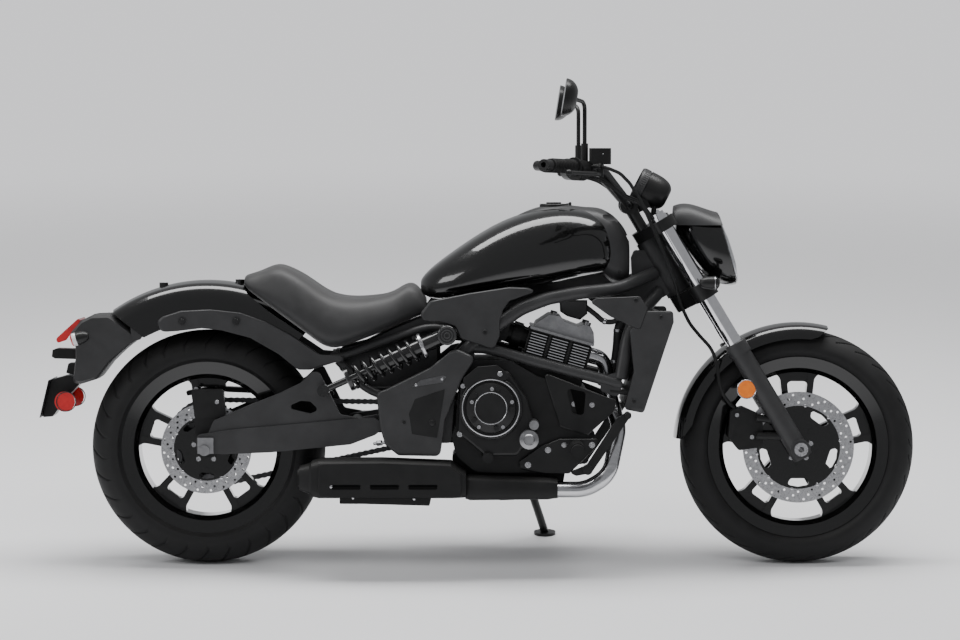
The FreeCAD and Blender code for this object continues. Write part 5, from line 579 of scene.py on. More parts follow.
# Rows are pixels across and down in the picture and the head's radius in millimetres. An axis of None
# stands the head square on the surface.
ENGINE_NODES = ("engine_covers", "crankcase", "engine_fittings", "cylinders", "head_cover", "foot_brackets")
COVER_NODES = ("shroud_covers", "radiator_shrouds", "upper_side_covers", "tank_trim", "lower_side_covers")
FIXINGS = (
    (socket_screw, "frame", "clutch_screws", ("engine_covers",),
     ((492, 389, 5.5), (512, 402, 5.5), (503, 427, 5.5), (479, 427, 5.5), (472, 402, 5.5)), dict(height=5.0)),
    (socket_screw, "frame", "guard_arc_screws", ("engine_covers",), ((463, 386, 7.0), (500, 374, 7.0)),
     dict(height=5.0)),
    (hex_bolt, "frame", "case_bolts", ENGINE_NODES,
     ((460, 434, 6.0), (577, 397, 6.5), (574, 404, 5.0), (583, 372, 6.0), (534, 363, 5.0), (592, 405, 5.0)), {}),
    (hex_bolt, "frame", "bracket_bolts", ("foot_brackets", "main_frame", "crankcase"),
     ((548, 450, 6.0), (564, 445, 5.0), (592, 445, 6.0), (528, 465, 6.0)), {}),
    (socket_screw, "frame", "cover_screws", COVER_NODES,
     ((636, 300, 6.0), (661, 317, 5.0), (634, 401, 5.0), (485, 332, 6.0), (620, 272, 5.0), (404, 422, 4.5)),
     dict(axis=None, height=3.5, finish="black_screw")),
    (button, "frame", "strip_dots", ("lower_side_covers",), ((416, 385, 4.0), (442, 379, 4.0)), {}),
    (hex_bolt, "frame", "rail_bolts", ("mudguard_rails",), ((182, 321, 7.5), (236, 321, 7.5)),
     dict(finish="black_screw")),
    (button, "frame", "silencer_rivets", ("muffler",), ((353, 498, 4.0), (414, 499, 4.0)), dict(height=2.5)),
    (socket_screw, "frame", "rear_caliper_screws", ("rear_caliper",), ((196, 389, 6.0), (217, 402, 6.0)), {}),
    (socket_screw, "steering", "front_caliper_screws", ("front_caliper",), ((737, 415, 6.0), (752, 437, 6.0)), {}),
    (button, "frame", "pivot_cap", ("lower_side_covers",), ((432, 423, 9.0),), dict(height=5.0, finish="satin_black")),
)
AXLE_END = ((801, 448, 2.0),)

HUB_BOLTS = (34.0, 5, 6.5)
RIVET_COUNT, RIVET_RADIUS, RIVET_HEIGHT = 10, 4.5, 2.2
RIVET_CIRCLES = {"front": 112.0, "rear": 88.0}
HUB_PROBE = 0.4


def wheel_fixings():
    """Each hub's socket screws, and the rivets that hold each disc on its carrier."""
    for end, rivet_circle in RIVET_CIRCLES.items():
        hub, body = node_centre(end + "_tyre"), end + "_wheel"
        for circle, count, radius in (HUB_BOLTS, (rivet_circle, RIVET_COUNT, RIVET_RADIUS)):
            for i in range(count):
                angle = 2 * math.pi * (i + 0.25) / count
                start = hub + (AHEAD * math.cos(angle) + ABOVE * math.sin(angle)) * (circle * MM) + OUT * HUB_PROBE
                found = struck(start, -OUT, end + "_disc", end + "_rim")
                if found and circle == rivet_circle:
                    button(body, body + "_rivets", found[0], OUT, radius, height=RIVET_HEIGHT)
                elif found:
                    socket_screw(body, body + "_bolts", found[0], OUT, radius, height=5.0)


def fasten():
    for kind, body, label, nodes, rows, options in FIXINGS:
        fix_seen(kind, body, label, nodes, rows, **options)
    wheel_fixings()
    fix_seen(button, "steering", "axle_end_ring", ("front_axle", "fork_lowers"), AXLE_END)


# Engine

TILT = math.radians(16.0)
BARREL = (902.0, 470.0)
BARREL_DEPTH, BARREL_HALF = 172.0, 118.0
FIN_LOW, FIN_PITCH, FIN_COUNT, FIN_THICK = 78.0, 66.0 / 9, 9, 3.0
FIN_COLUMNS, FIN_MARGIN, FIN_BEVEL = 3, 7.0, 0.3
COLUMN_BOLT, COLUMN_BOLT_HEIGHT = 3.4, 3.0
COLUMN_BOLTS_AT = (FIN_LOW + 8.0, FIN_LOW + FIN_PITCH * FIN_COUNT - 10.0)
CLUTCH = (755.0, 427.0)
CLUTCH_RINGS = ((74.5, 1.5), (42.0, 1.1))
RING_PROBE_SHARE = 0.71


def barrel(u, w, y):
    """A point by its distances along and up the tilted cylinders."""
    return place(BARREL[0] + math.cos(TILT) * u + math.sin(TILT) * w, y,
                 BARREL[1] - math.sin(TILT) * u + math.cos(TILT) * w)


def bright_fins():
    """The machined outer edges of the fins, in three columns on each side, with the bolts between them."""
    column = BARREL_DEPTH / FIN_COLUMNS
    for side in (-1, 1):
        outward, y = way(0, side, 0), side * BARREL_HALF
        for row in range(FIN_COUNT - 1):
            top = FIN_LOW + FIN_PITCH * (row + 1)
            low, high = top - FIN_THICK + FIN_BEVEL, top - FIN_BEVEL
            for i in range(FIN_COLUMNS):
                start = -BARREL_DEPTH / 2 + column * i + FIN_MARGIN
                end = start + column - 2 * FIN_MARGIN
                corners = [barrel(start, low, y), barrel(end, low, y), barrel(end, high, y), barrel(start, high, y)]
                batch("frame", "polished_alloy", "bright_fin_edges").slab(corners, outward, 0.7, 0.25)
        for i in range(1, FIN_COLUMNS):
            for w in COLUMN_BOLTS_AT:
                socket_screw("frame", "column_bolts", barrel(-BARREL_DEPTH / 2 + column * i, w, y), outward,
                             COLUMN_BOLT, COLUMN_BOLT_HEIGHT, "black_screw")


def clutch_rings():
    """The two bright turned rings on the clutch cover's face."""
    x, z = CLUTCH
    for radius, half in CLUTCH_RINGS:
        found = side_hit(x + radius * RING_PROBE_SHARE, z + radius * RING_PROBE_SHARE, "engine_covers")
        centre = place(x, -deep(found, x, z), z)
        batch("frame", "polished_alloy", "clutch_rings").turned(centre, OUT, (
            (radius - half, -1.2), (radius - half, 0.5), (radius - half * 0.5, 0.9), (radius + half * 0.5, 0.9),
            (radius + half, 0.5), (radius + half, -1.2), (radius - half, -1.2)), 96)


# Silencer

SLOT_FIRST, SLOT_STEP, SLOT_COUNT, SLOT_HEIGHT = 376.0, 100.5, 3, 218.5
SLOT_HALF, SLOT_RADIUS = 33.5, 4.0
SLOT_END = (331, 487)


def silencer_slots():
    """Near-black sheets of painted shade in the cover's three slots, and the bright head at the first one's end."""
    for i in range(SLOT_COUNT):
        middle = SLOT_FIRST + SLOT_STEP * i
        found = side_hit(middle, SLOT_HEIGHT, "muffler")
        if found is None:
            continue
        y = -deep(found, middle, SLOT_HEIGHT)
        corners = []
        for k in range(20):
            angle = 2 * math.pi * k / 20
            corners.append(place(middle + math.copysign(SLOT_HALF, math.cos(angle)) + SLOT_RADIUS * math.cos(angle),
                                 y, SLOT_HEIGHT + SLOT_RADIUS * math.sin(angle)))
        # A near-black sheet in each slot: painted shade for the slot's dark inside.
        batch("frame", "dark_gap", "slot_shadows").slab(corners, OUT, 0.5, 0.2)
    found = seen(*SLOT_END, "muffler")
    if found:
        button("frame", "silencer_rivets", found[0], OUT, 4.0, 2.0)


# Lamps. The profiles are rows of radius and height in millimetres.

FRONT_SIGNAL = (1343.4, 172.0, 754.2)
FRONT_BULB = ((0, -3.0), (8.0, -3.0), (8.0, 3.0), (5.0, 7.0), (0, 8.5))
FRONT_BULB_BACK = 0.002
FRONT_GLASS = ((0, -1.0), (17.4, -1.0), (17.6, 2.0), (16.0, 6.5), (12.0, 10.5), (6.0, 13.0), (0, 13.6))
FRONT_RIM = ((16.6, -1.0), (18.0, -1.0), (18.2, 0.6), (17.0, 1.4), (16.6, -1.0))
REAR_SIGNAL = (-342.0, 170.0, 604.0)
REAR_SIGNAL_WAY = way(-1, 0, -0.3)
REAR_GLASS = ((0, -1.0), (16.6, -1.0), (16.6, 2.0), (14.4, 5.0), (8.0, 7.0), (0, 7.4))
REAR_BAND = ((16.8, -9.0), (17.5, -9.0), (17.7, -4.0), (17.5, 1.0), (16.8, 1.0), (16.8, -9.0))
FORK_REFLECTOR = (1431.7, 471.2)
FORK_REFLECTOR_FACE = ((0, -1.0), (23.5, -1.0), (23.5, 1.0), (22.0, 2.2), (0, 2.6))
FORK_REFLECTOR_RIM = ((23.6, -1.0), (26.0, -1.0), (26.2, 1.2), (25.0, 2.2), (23.8, 1.4), (23.6, -1.0))
REAR_REFLECTOR = (-370.0, 437.0)
REAR_REFLECTOR_RIM = ((24.4, -1.0), (26.6, -1.0), (26.8, 1.0), (25.4, 1.8), (24.4, 1.0), (24.4, -1.0))

HEADLIGHT, HEADLIGHT_WAY = (1356.0, 0, 836.0), way(0.96, 0, 0.27)
BOWL_HOLE, BOWL_SPREAD, BOWL_DEPTH, BOWL_WALL, BOWL_STEPS = 8.0, 54.0, 46.0, 1.2, 8
BULB = ((0, -45.0), (6.0, -45.0), (6.0, -30.0), (8.0, -24.0), (8.0, -14.0), (5.0, -9.0), (0, -8.0))
SHADE = ((0, -6.0), (10.0, -6.0), (11.0, -4.0), (9.0, -2.0), (0, -1.0))
BEZEL = ((61.0, -3.0), (71.0, -3.0), (71.0, 1.0), (63.0, 3.0), (61.0, 1.0), (61.0, -3.0))
LINER_SHARE, LINER_BACK, LINER_WAY = 0.90, 1.5, way(1, 0, 0.2)
JOIN_WITHIN = 0.00002


def mirrored_place(point, side):
    """A point that is given on the left, on the side that is asked for."""
    return place(point[0], side * point[1], point[2])


def lamps():
    """Lenses, bulbs and rims of the indicators, and the faces and rims of the round reflectors."""
    for side in (-1, 1):
        front = mirrored_place(FRONT_SIGNAL, side)
        glass = batch("steering", "clear_lens", "front_signal_lenses")
        batch("steering", "amber_lens", "front_signal_bulbs").turned(
            front - AHEAD * FRONT_BULB_BACK, AHEAD, FRONT_BULB, 20)
        glass.turned(front, AHEAD, FRONT_GLASS, 28)
        batch("steering", "bolt_steel", "front_signal_rims").turned(front, AHEAD, FRONT_RIM, 28)
        back = mirrored_place(REAR_SIGNAL, side)
        batch("frame", "red_lens", "rear_signal_lenses").turned(back, REAR_SIGNAL_WAY, REAR_GLASS, 24)
        batch("frame", "white_lens", "rear_signal_bands").turned(back, REAR_SIGNAL_WAY, REAR_BAND, 28)
        found = side_hit(*FORK_REFLECTOR, "front_lamps", side=side)
        if found:
            outward = way(0, side, 0)
            batch("steering", "amber_lens", "fork_reflector_faces").turned(
                found[0], outward, FORK_REFLECTOR_FACE, 36)
            batch("steering", "bolt_steel", "fork_reflector_rims").turned(found[0], outward, FORK_REFLECTOR_RIM, 36)
    for side in (-1, 1):
        found = side_hit(*REAR_REFLECTOR, "tail_lenses", "rear_lamps", side=side)
        if found:
            batch("frame", "satin_black", "rear_reflector_rims").turned(
                found[0], way(0, side, 0), REAR_REFLECTOR_RIM, 36)


def headlight_inside():
    """The reflector bowl, its bulb and the shade in front of the bulb, behind the clear lens."""
    centre, ahead = place(*HEADLIGHT), HEADLIGHT_WAY
    bowl = [(BOWL_HOLE + BOWL_SPREAD * (i / BOWL_STEPS) ** 0.55, -BOWL_DEPTH + BOWL_DEPTH * (i / BOWL_STEPS) ** 1.1)
            for i in range(BOWL_STEPS + 1)]
    outer = [(radius + BOWL_WALL, height - BOWL_WALL / 2) for radius, height in reversed(bowl)]
    batch("steering", "polished_chrome", "headlight_reflector").turned(
        centre, ahead, [(0, -BOWL_DEPTH)] + bowl + outer + [(0, -BOWL_DEPTH - 1.5)], 48)
    batch("steering", "white_lens", "headlight_bulb").turned(centre, ahead, BULB, 20)
    batch("steering", "ground_steel", "headlight_shade").turned(centre, ahead, SHADE, 24)
    batch("steering", "satin_black", "headlight_bezel").turned(centre, ahead, BEZEL, 48)


def headlight_liner():
    """The bright moulding that shows through the lens round the reflector: the lens's own form, a little smaller."""
    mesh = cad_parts["headlight_lens"].data
    middle = node_centre("headlight_lens")
    points = [middle + (v.co - middle) * LINER_SHARE - LINER_WAY * (LINER_BACK * MM) for v in mesh.vertices]
    faces = [tuple(polygon.vertices) for polygon in mesh.polygons]
    loose = bpy.data.meshes.new("liner")
    loose.from_pydata(points, [], faces)
    form = bmesh.new()
    form.from_mesh(loose)
    bmesh.ops.remove_doubles(form, verts=form.verts, dist=JOIN_WITHIN)
    form.verts.index_update()
    merged = [v.co.copy() for v in form.verts]
    shells = [tuple(v.index for v in f.verts) for f in form.faces]
    form.free()
    bpy.data.meshes.remove(loose)
    new_piece("headlight_liner", merged, shells, "polished_alloy", "steering", 40.0)


# Cockpit

# Name, finish, place in the picture, the way it stands, its profile and the number of its sides.
CONTROLS = (
    ("stop_switch", "red_switch", (571, 153), way(0, -0.2, 1),
     ((0, -2.0), (8.0, -2.0), (8.0, 2.2), (7.0, 3.2), (0, 3.4)), 20),
    ("lever_pivot", "bolt_steel", (594, 178), OUT, ((0, -3.0), (9.0, -3.0), (9.0, 2.0), (7.0, 3.4), (0, 3.6)), 24),
)
RESERVOIR_SCREWS = ((588, 153, 2.4), (603, 154, 2.4))

DIAL = (1168.2, 0, 1004.7)
DIAL_WAY, DIAL_RISE = way(-0.891, 0, 0.454), way(0.454, 0, 0.891)
DIAL_FACE = ((0, -1.0), (37.6, -1.0), (37.6, 0.4), (36.0, 0.9), (0, 1.0))
DIAL_RING = ((43.4, 2.0), (45.4, 3.0), (45.4, 21.0), (44.0, 24.0), (43.0, 24.0), (43.0, 3.0), (43.4, 2.0))
TICK_COUNT, TICK_FIRST, TICK_STEP = 11, -40, 26
TICK_FROM, TICK_LONG, TICK_HALF, TICK_LIFT = 0.027, 0.007, 0.0008, 0.001
RIB_COUNT, RIB_AWAY, RIB_FROM, RIB_TO = 48, 0.0452, 0.005, 0.019

CABLE_RADIUS = 2.6
CABLE_DROPS = (0.0, 7.0, 14.0)
CABLE_ROUTE = (
    (1000.0, 272.0, 1044.0), (1044.0, 222.0, 1030.0), (1100.0, 142.0, 990.0), (1150.0, 86.0, 966.0),
    (1190.0, 60.0, 918.0), (1220.0, 50.0, 856.0))
CABLE_SPREAD = ((4, 0), (4, 0), (4, 0), (4, 0), (0, 4), (0, 5))

GRIP_INNER, GRIP_OUTER = (968.0, 322.0, 1059.0), (906.0, 426.0, 1062.0)
GRIP_RIBS, GRIP_RIBS_FROM, GRIP_RIBS_SPAN, GRIP_WIDEST = 14, 0.06, 0.86, 24


def controls():
    """The red stop switch, the brake lever's pivot and the screws in the fluid reservoir's lid."""
    for label, finish, spot, axis, profile, count in CONTROLS:
        found = seen(*spot, "bar_controls")
        if found:
            batch("steering", finish, label).turned(found[0], axis, profile, count)
    fix_seen(button, "steering", "reservoir_screws", ("bar_controls",), RESERVOIR_SCREWS, ABOVE, height=1.4)


def dial():
    """The instrument's dark face with its scale, and the ribbed ring round its case."""
    middle, face = place(*DIAL), DIAL_WAY
    found = struck(middle + face * 0.2, -face, "instrument")
    if found is None:
        return
    centre = found[0]
    batch("steering", "dial_glass", "dial_face").turned(centre, face, DIAL_FACE, 48)
    for i in range(TICK_COUNT):
        angle = math.radians(TICK_FIRST + TICK_STEP * i)
        out = AXLE * math.cos(angle) + DIAL_RISE * math.sin(angle)
        along = face.cross(out)
        corners = [centre + face * TICK_LIFT + out * (TICK_FROM + TICK_LONG * a) + along * (TICK_HALF * b)
                   for a, b in ((0, -1), (1, -1), (1, 1), (0, 1))]
        batch("steering", "pale_mark", "dial_ticks").slab(corners, face, 0.2, 0.05)
    batch("steering", "satin_gunmetal", "dial_ring").turned(middle, face, DIAL_RING, 64)
    for i in range(RIB_COUNT):
        angle = 2 * math.pi * i / RIB_COUNT
        rim = middle + (AXLE * math.cos(angle) + DIAL_RISE * math.sin(angle)) * RIB_AWAY
        batch("steering", "satin_gunmetal", "dial_ribs").tube([rim + face * RIB_FROM, rim + face * RIB_TO], 1.1, 6, 1)


def control_cables():
    """Three cables on each side, from the switches in front of the bar down to the steering head."""
    for i, drop in enumerate(CABLE_DROPS):
        for side in (-1, 1):
            knots = [place(x + ahead * i, side * (y + aside * i), z - drop)
                     for (x, y, z), (ahead, aside) in zip(CABLE_ROUTE, CABLE_SPREAD)]
            batch("steering", "grip_rubber", "control_cables").tube(knots, CABLE_RADIUS, 8, 8)


def grip_ribs():
    """Raised rings along both grips."""
    for side in (-1, 1):
        inner, outer = (Vector((x, side * y, z)) for x, y, z in (GRIP_INNER, GRIP_OUTER))
        along = way(*(outer - inner))
        for i in range(GRIP_RIBS):
            middle = place(*inner.lerp(outer, GRIP_RIBS_FROM + GRIP_RIBS_SPAN * i / (GRIP_RIBS - 1)))
            probe = struck(middle + ABOVE * 0.2, -ABOVE, "grips")
            if probe is None:
                continue
            radius = (probe[0] - middle).length / MM
            if radius > GRIP_WIDEST:
                continue
            batch("steering", "grip_rubber", "grip_ribs").turned(middle, along, (
                (radius - 2.0, -1.6), (radius + 0.7, -1.4), (radius + 1.2, 0.0), (radius + 0.7, 1.4),
                (radius - 2.0, 1.6), (radius - 2.0, -1.6)), 28)


# Side trim and engine bay

COVER_STRIP = ((548, 481), (571, 500), (630, 512), (638, 508), (630, 494))
SHOCK_EYE, SHOCK_FOOT = (640.0, -158.0, 617.0), (314.0, -158.0, 470.0)
COLLAR_AT, LOWER_COLLAR_AT = 0.066, 0.284
COLLAR = ((20.0, 0.0), (33.0, 0.0), (35.0, 2.0), (35.0, 8.0), (33.0, 10.0), (20.0, 10.0), (20.0, 0.0))
LOWER_COLLAR = ((10.0, 0.0), (31.0, 0.0), (32.0, 1.5), (32.0, 5.0), (10.0, 5.0), (10.0, 0.0))
CAP_RINGS, CAP_RING_HALF = (21.0, 14.0, 7.0), 1.6
BRAKE_ROD, BRAKE_ROD_RADIUS = ((446.0, -163.0, 330.0), (470.0, -168.0, 333.0), (512.0, -176.0, 340.0)), 4.0
BRAKE_NUTS, BRAKE_NUT_WAY = ((462.0, -166.0, 332.0), (496.0, -173.0, 337.5)), way(50, -10, 8)
BRAKE_NUT = ((0, -7.0), (7.0, -7.0, 6), (8.2, -5.5, 6), (8.2, 5.5, 6), (7.0, 7.0, 6), (0, 7.0))

# The panel and the coil are outlines in the upright x and z, on a plane beside the machine's middle.
TANK_PANEL, TANK_PANEL_Y, TANK_PANEL_THICK = (
    (780.0, 694.0), (858.0, 738.0), (935.0, 764.0), (1050.0, 786.0), (1084.0, 778.0), (1082.0, 752.0),
    (942.0, 728.0), (830.0, 676.0)), -18.0, 6.0
COIL, COIL_Y, COIL_THICK = (
    (938.0, 704.0), (1012.0, 704.0), (1012.0, 668.0), (992.0, 652.0), (958.0, 662.0), (940.0, 674.0)), -34.0, 34.0
HOSES = (
    (9.0, ((775.0, -45.0, 640.0), (800.0, -60.0, 672.0), (850.0, -55.0, 702.0), (905.0, -50.0, 720.0),
           (950.0, -48.0, 700.0))),
    (4.5, ((786.0, -70.0, 604.0), (796.0, -72.0, 650.0), (828.0, -70.0, 684.0), (868.0, -64.0, 700.0),
           (900.0, -56.0, 690.0))),
    (7.0, ((1006.0, -52.0, 688.0), (1034.0, -56.0, 666.0), (1058.0, -58.0, 648.0), (1088.0, -58.0, 650.0),
           (1112.0, -50.0, 676.0))),
    (12.0, ((1112.0, -36.0, 668.0), (1096.0, -40.0, 628.0), (1092.0, -42.0, 580.0), (1084.0, -42.0, 532.0),
            (1066.0, -40.0, 506.0))),
)
# Place, radius and the hose's way there.
CLIPS = (
    ((1095.0, -40.5, 622.0), 13.2, way(4.0, 2.0, 46.0)),
    ((1085.0, -42.0, 540.0), 13.2, way(8.0, 0.0, 48.0)),
    ((1058.0, -58.0, 648.0), 8.2, way(30.0, 0.0, -8.0)),
)
CLIP_THICK, CLIP_HALF = 2.0, 3.5

# Corners of the inset fields in pixels of the picture.
INSETS = (
    ("cover_inset", "satin_black", "lower_side_covers",
     ((415, 399), (445, 389), (437, 438), (412, 434), (409, 414))),
    ("shroud_inset", "satin_black", "shroud_covers", ((643, 333), (664, 334), (653, 394), (630, 392))),
    # The small cover's window is a near-black sheet of the same painted shade as the silencer's slots.
    ("small_cover_window", "dark_gap", "engine_covers",
     ((570, 387), (590, 393), (584, 417), (579, 421), (574, 413))),
)


def side_trim():
    """The pale strip on the lower cover, the shock's collars and cap ribs, and the brake's adjuster."""
    found = [side_hit(x, z, "lower_side_covers") for x, z in COVER_STRIP]
    batch("frame", "strip_alloy", "cover_strip").slab([hit[0] for hit in found if hit], OUT, 1.0, 0.6)
    eye = place(*SHOCK_EYE)
    along = (place(*SHOCK_FOOT) - eye).normalized()
    batch("frame", "bolt_steel", "shock_collar").turned(eye + along * COLLAR_AT, along, COLLAR, 48)
    batch("frame", "strip_alloy", "shock_lower_collar").turned(eye + along * LOWER_COLLAR_AT, along, LOWER_COLLAR, 48)
    found = side_hit(SHOCK_EYE[0], SHOCK_EYE[2], "shock_absorber")
    if found:
        for radius in CAP_RINGS:
            inner, outer = radius - CAP_RING_HALF, radius + CAP_RING_HALF
            batch("frame", "satin_gunmetal", "shock_cap_rings").turned(found[0], OUT, (
                (inner, -1.0), (inner, 0.5), (radius, 1.1), (outer, 0.5), (outer, -1.0), (inner, -1.0)), 40)
    adjuster = batch("frame", "bolt_steel", "brake_adjuster")
    adjuster.tube([place(*knot) for knot in BRAKE_ROD], BRAKE_ROD_RADIUS, 12, 4)
    for spot in BRAKE_NUTS:
        adjuster.turned(place(*spot), BRAKE_NUT_WAY, BRAKE_NUT, 24)


def engine_bay():
    """The dark panel under the tank, the coil over the head and the hoses round it."""
    batch("frame", "moulded_black", "tank_under_panel").slab(
        [place(x, TANK_PANEL_Y, z) for x, z in TANK_PANEL], OUT, TANK_PANEL_THICK, 1.5)
    batch("frame", "moulded_black", "ignition_coil").slab([place(x, COIL_Y, z) for x, z in COIL], OUT, COIL_THICK, 5.0)
    for radius, knots in HOSES:
        batch("frame", "moulded_black", "engine_hoses").tube([place(*knot) for knot in knots], radius, 14, 8)
    for spot, radius, along in CLIPS:
        inner = radius - CLIP_THICK
        batch("frame", "bolt_steel", "hose_clips").turned(place(*spot), along, (
            (inner, -CLIP_HALF), (radius, -CLIP_HALF), (radius, CLIP_HALF), (inner, CLIP_HALF), (inner, -CLIP_HALF)),
            32)


def insets():
    """Darker flat fields let into the lower cover and the radiator's side, and a near-black sheet of painted shade in
    the engine's small cover's window.
    """
    for label, finish, node, rows in INSETS:
        corners = [found[0] for found in (seen(u, v, node) for u, v in rows) if found]
        if len(corners) > 2:
            batch("frame", finish, label).slab(corners, OUT, 0.8, 0.3)
        else:
            print("nothing carries", label)


# Tyres with their tread

TREAD_STEPS = 1300
TREAD_ARC, TREAD_POINTS, WALL_POINTS = 78.0, 44, 20
SECTION_PROBE = 0.15

# The cuts run from and to these distances off the tyre's middle, in millimetres, and lag by this many degrees.
FRONT_CUTS, FRONT_LAG, FRONT_BEND, FRONT_PITCH = (3.0, 49.0), 15.0, 1.3, 11.0
FRONT_RADIUS, FRONT_SLANT, FRONT_CUT_HALF, FRONT_CUT_DEPTH = 305.0, 0.66, 2.6, 3.0
REAR_CUTS, REAR_LAG, REAR_PITCH = (22.0, 84.0), 7.0, 12.0
REAR_RADIUS, REAR_SLANT, REAR_CUT_HALF, REAR_CUT_DEPTH = 300.0, 0.85, 2.8, 3.6
GROOVE_HALF, GROOVE_DEPTH = 3.2, 3.4


def dip(away, half, depth):
    """Depth of a round-bottomed cut, this far from its middle."""
    return depth * max(0.0, 1 - (away / half) ** 4)


def off_cut(turn, side, lag, pitch):
    """Degrees from the nearest of the cuts that repeat round the tyre, where one side is half a pitch behind."""
    half = pitch / 2
    return abs((turn - lag - (half if side > 0 else 0.0) + half) % pitch - half)


def tread_front(turn, s):
    """Depth of the front tread's curved cuts, by the turn in degrees and the way across in millimetres."""
    side = 1 if s > 0 else -1
    t = s * side
    if not FRONT_CUTS[0] < t < FRONT_CUTS[1]:
        return 0.0
    lag = FRONT_LAG * (t / FRONT_CUTS[1]) ** FRONT_BEND
    away = off_cut(turn, side, lag, FRONT_PITCH) * math.pi / 180 * FRONT_RADIUS * FRONT_SLANT
    return dip(away, FRONT_CUT_HALF, FRONT_CUT_DEPTH)


def tread_rear(turn, s):
    """Depth of the rear tread's middle groove and its straight slanted cuts, in the same terms."""
    side = 1 if s > 0 else -1
    t = s * side
    if 0.0 <= t < GROOVE_HALF:
        return dip(t, GROOVE_HALF, GROOVE_DEPTH)
    if not REAR_CUTS[0] < t < REAR_CUTS[1]:
        return 0.0
    lag = REAR_LAG * (t - REAR_CUTS[0]) / (REAR_CUTS[1] - REAR_CUTS[0])
    away = off_cut(turn, side, lag, REAR_PITCH) * math.pi / 180 * REAR_RADIUS * REAR_SLANT
    return dip(away, REAR_CUT_HALF, REAR_CUT_DEPTH)


def tyre_section(node, hub, ring_radius):
    """The tyre's outline on one radius: rows of distance out from the hub, along the axle, and angle."""
    angles = [math.radians(-TREAD_ARC + 2 * TREAD_ARC * i / (TREAD_POINTS - 1)) for i in range(TREAD_POINTS)]
    angles += [math.radians(TREAD_ARC + (360 - 2 * TREAD_ARC) * (i + 1) / (WALL_POINTS + 1))
               for i in range(WALL_POINTS)]
    core = hub + AHEAD * (ring_radius * MM)
    section = []
    for angle in angles:
        out = AHEAD * math.cos(angle) + AXLE * math.sin(angle)
        found = struck(core + out * SECTION_PROBE, -out, node)
        if found:
            section.append(((found[0] - hub).dot(AHEAD), (found[0] - hub).dot(AXLE), angle))
    return section


def tyre(node, body, ring_radius, pattern):
    """The tyre's own section turned round its hub, with the tread cut into it."""
    hub = node_centre(node)
    section = tyre_section(node, hub, ring_radius)
    count = len(section)
    crown = max(range(count), key=lambda i: section[i][0])
    across = {}
    for i in range(count):
        if abs(section[i][2]) < math.radians(TREAD_ARC + 1):
            low, high = (crown, i) if i > crown else (i, crown)
            run = sum(math.hypot(section[k + 1][0] - section[k][0], section[k + 1][1] - section[k][1])
                      for k in range(low, high))
            across[i] = (run if i > crown else -run) / MM
    points, faces = [], []
    for step in range(TREAD_STEPS):
        turn = 360.0 * step / TREAD_STEPS
        out = AHEAD * math.cos(math.radians(turn)) + ABOVE * math.sin(math.radians(turn))
        for i, (radius, shift, angle) in enumerate(section):
            depth = pattern(turn, across[i]) * MM if i in across else 0.0
            points.append(hub + out * (radius - depth * math.cos(angle)) + AXLE * (shift - depth * math.sin(angle)))
    for step in range(TREAD_STEPS):
        first, second = step * count, (step + 1) % TREAD_STEPS * count
        for i in range(count):
            j = (i + 1) % count
            faces.append((first + i, first + j, second + j, second + i))
    piece = new_piece(node + "_treaded", points, faces, "tyre_rubber", body, 40.0)
    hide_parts(node)


# Seat

SEAT_BACK, SEAT_LENGTH = 99.5, 487.0
SEAT_SLICES, SEAT_ROUND = 100, 88
SEAT_ENDS_SHARE = 0.4
SEAT_TOP, SEAT_BOTTOM, SEAT_PROBE = 1300.0, 300.0, 0.35
SIDE_SEAMS, SEAM_DEPTH, SEAM_HALF = (math.radians(38), math.radians(142)), 1.8, 2.4
CROSS_SEAM_SHARE, CROSS_SEAM_BOW, CROSS_SEAM_HALF = 0.47, 0.05, 3.0


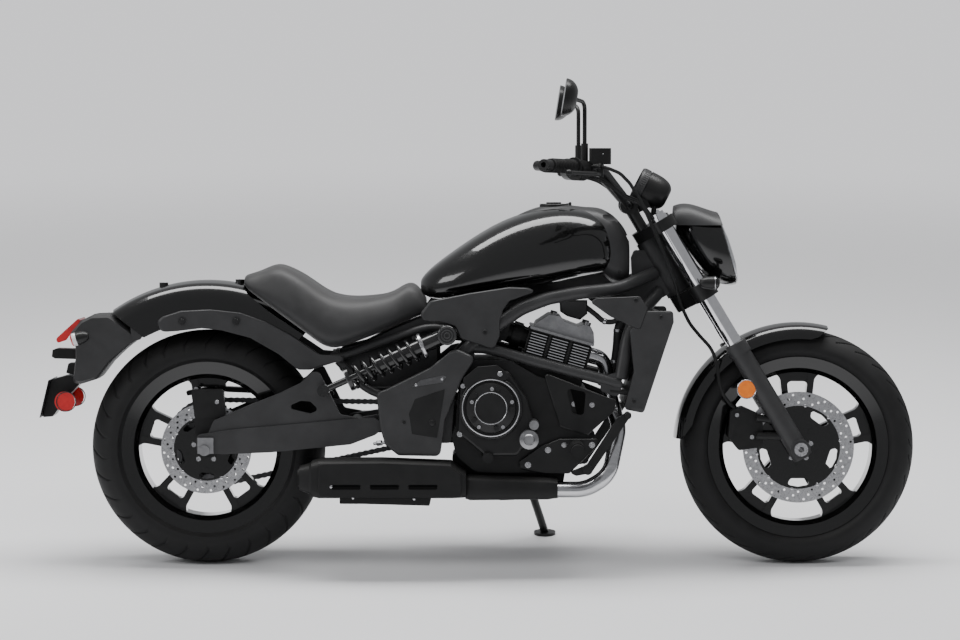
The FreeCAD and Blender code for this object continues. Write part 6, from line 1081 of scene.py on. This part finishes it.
def seat_rings():
    """Slices of the seat from back to front: share of the length, middle, and points with their way and angle."""
    rings = []
    for i in range(SEAT_SLICES):
        even = i / (SEAT_SLICES - 1)
        share = (1 - math.cos(math.pi * i / (SEAT_SLICES - 1))) / 2 * SEAT_ENDS_SHARE + even * (1 - SEAT_ENDS_SHARE)
        x = SEAT_BACK + SEAT_LENGTH * share
        top = struck(place(x, 0, SEAT_TOP), -ABOVE, "seat")
        low = struck(place(x, 0, SEAT_BOTTOM), ABOVE, "seat")
        if top is None or low is None:
            continue
        centre = (top[0] + low[0]) / 2
        ring = []
        for k in range(SEAT_ROUND):
            angle = 2 * math.pi * k / SEAT_ROUND
            out = AXLE * math.cos(angle) + ABOVE * math.sin(angle)
            found = struck(centre + out * SEAT_PROBE, -out, "seat")
            ring.append((found[0] if found else centre, out, angle))
        rings.append((share, centre, ring))
    return rings


def seam_cut(share, centre, spot, angle):
    """Depth of the sewn lines: one along each shoulder and one that bows across the top between them."""
    cut = 0.0
    for seam in SIDE_SEAMS:
        away = abs(angle - seam) * (spot - centre).length / MM
        cut += SEAM_DEPTH * math.exp(-(away / SEAM_HALF) ** 2)
    if SIDE_SEAMS[0] < angle < SIDE_SEAMS[1]:
        bow = CROSS_SEAM_SHARE + CROSS_SEAM_BOW * math.cos((angle - math.pi / 2) * 2)
        cut += SEAM_DEPTH * math.exp(-(abs(share - bow) * SEAT_LENGTH / CROSS_SEAM_HALF) ** 2)
    return cut


def cushion():
    """The seat as one padded skin with its sewn lines, on the form that carries it."""
    rings = seat_rings()
    points, faces = [], []
    for share, centre, ring in rings:
        for spot, out, angle in ring:
            points.append(spot - out * (seam_cut(share, centre, spot, angle) * MM))
    count = SEAT_ROUND
    for i in range(len(rings) - 1):
        for k in range(count):
            j = (k + 1) % count
            faces.append((i * count + k, i * count + j, (i + 1) * count + j, (i + 1) * count + k))
    for base, centre in ((0, rings[0][1]), ((len(rings) - 1) * count, rings[-1][1])):
        points.append(centre)
        for k in range(count):
            faces.append((base + k, base + (k + 1) % count, len(points) - 1))
    piece = new_piece("seat_cushion", points, faces, "seat_vinyl", "frame", 60.0)
    piece.modifiers.new("skin", "SUBSURF").levels = 1
    piece_now = piece.evaluated_get(bpy.context.evaluated_depsgraph_get())
    mesh = bpy.data.meshes.new_from_object(piece_now)
    piece.modifiers.clear()
    piece.data = mesh
    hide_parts("seat")


make_camera()
make_floor()
make_air()
for row in SOFT_LIGHTS:
    soft_light(*row)
finish_nodes()

fasten()
headlight_liner()
side_trim()
engine_bay()
insets()
bright_fins()
clutch_rings()
silencer_slots()
lamps()
headlight_inside()
controls()
dial()
control_cables()
grip_ribs()
make_gathered()
tyre("front_tyre", "front_wheel", 268.0, tread_front)
tyre("rear_tyre", "rear_wheel", 262.0, tread_rear)
cushion()
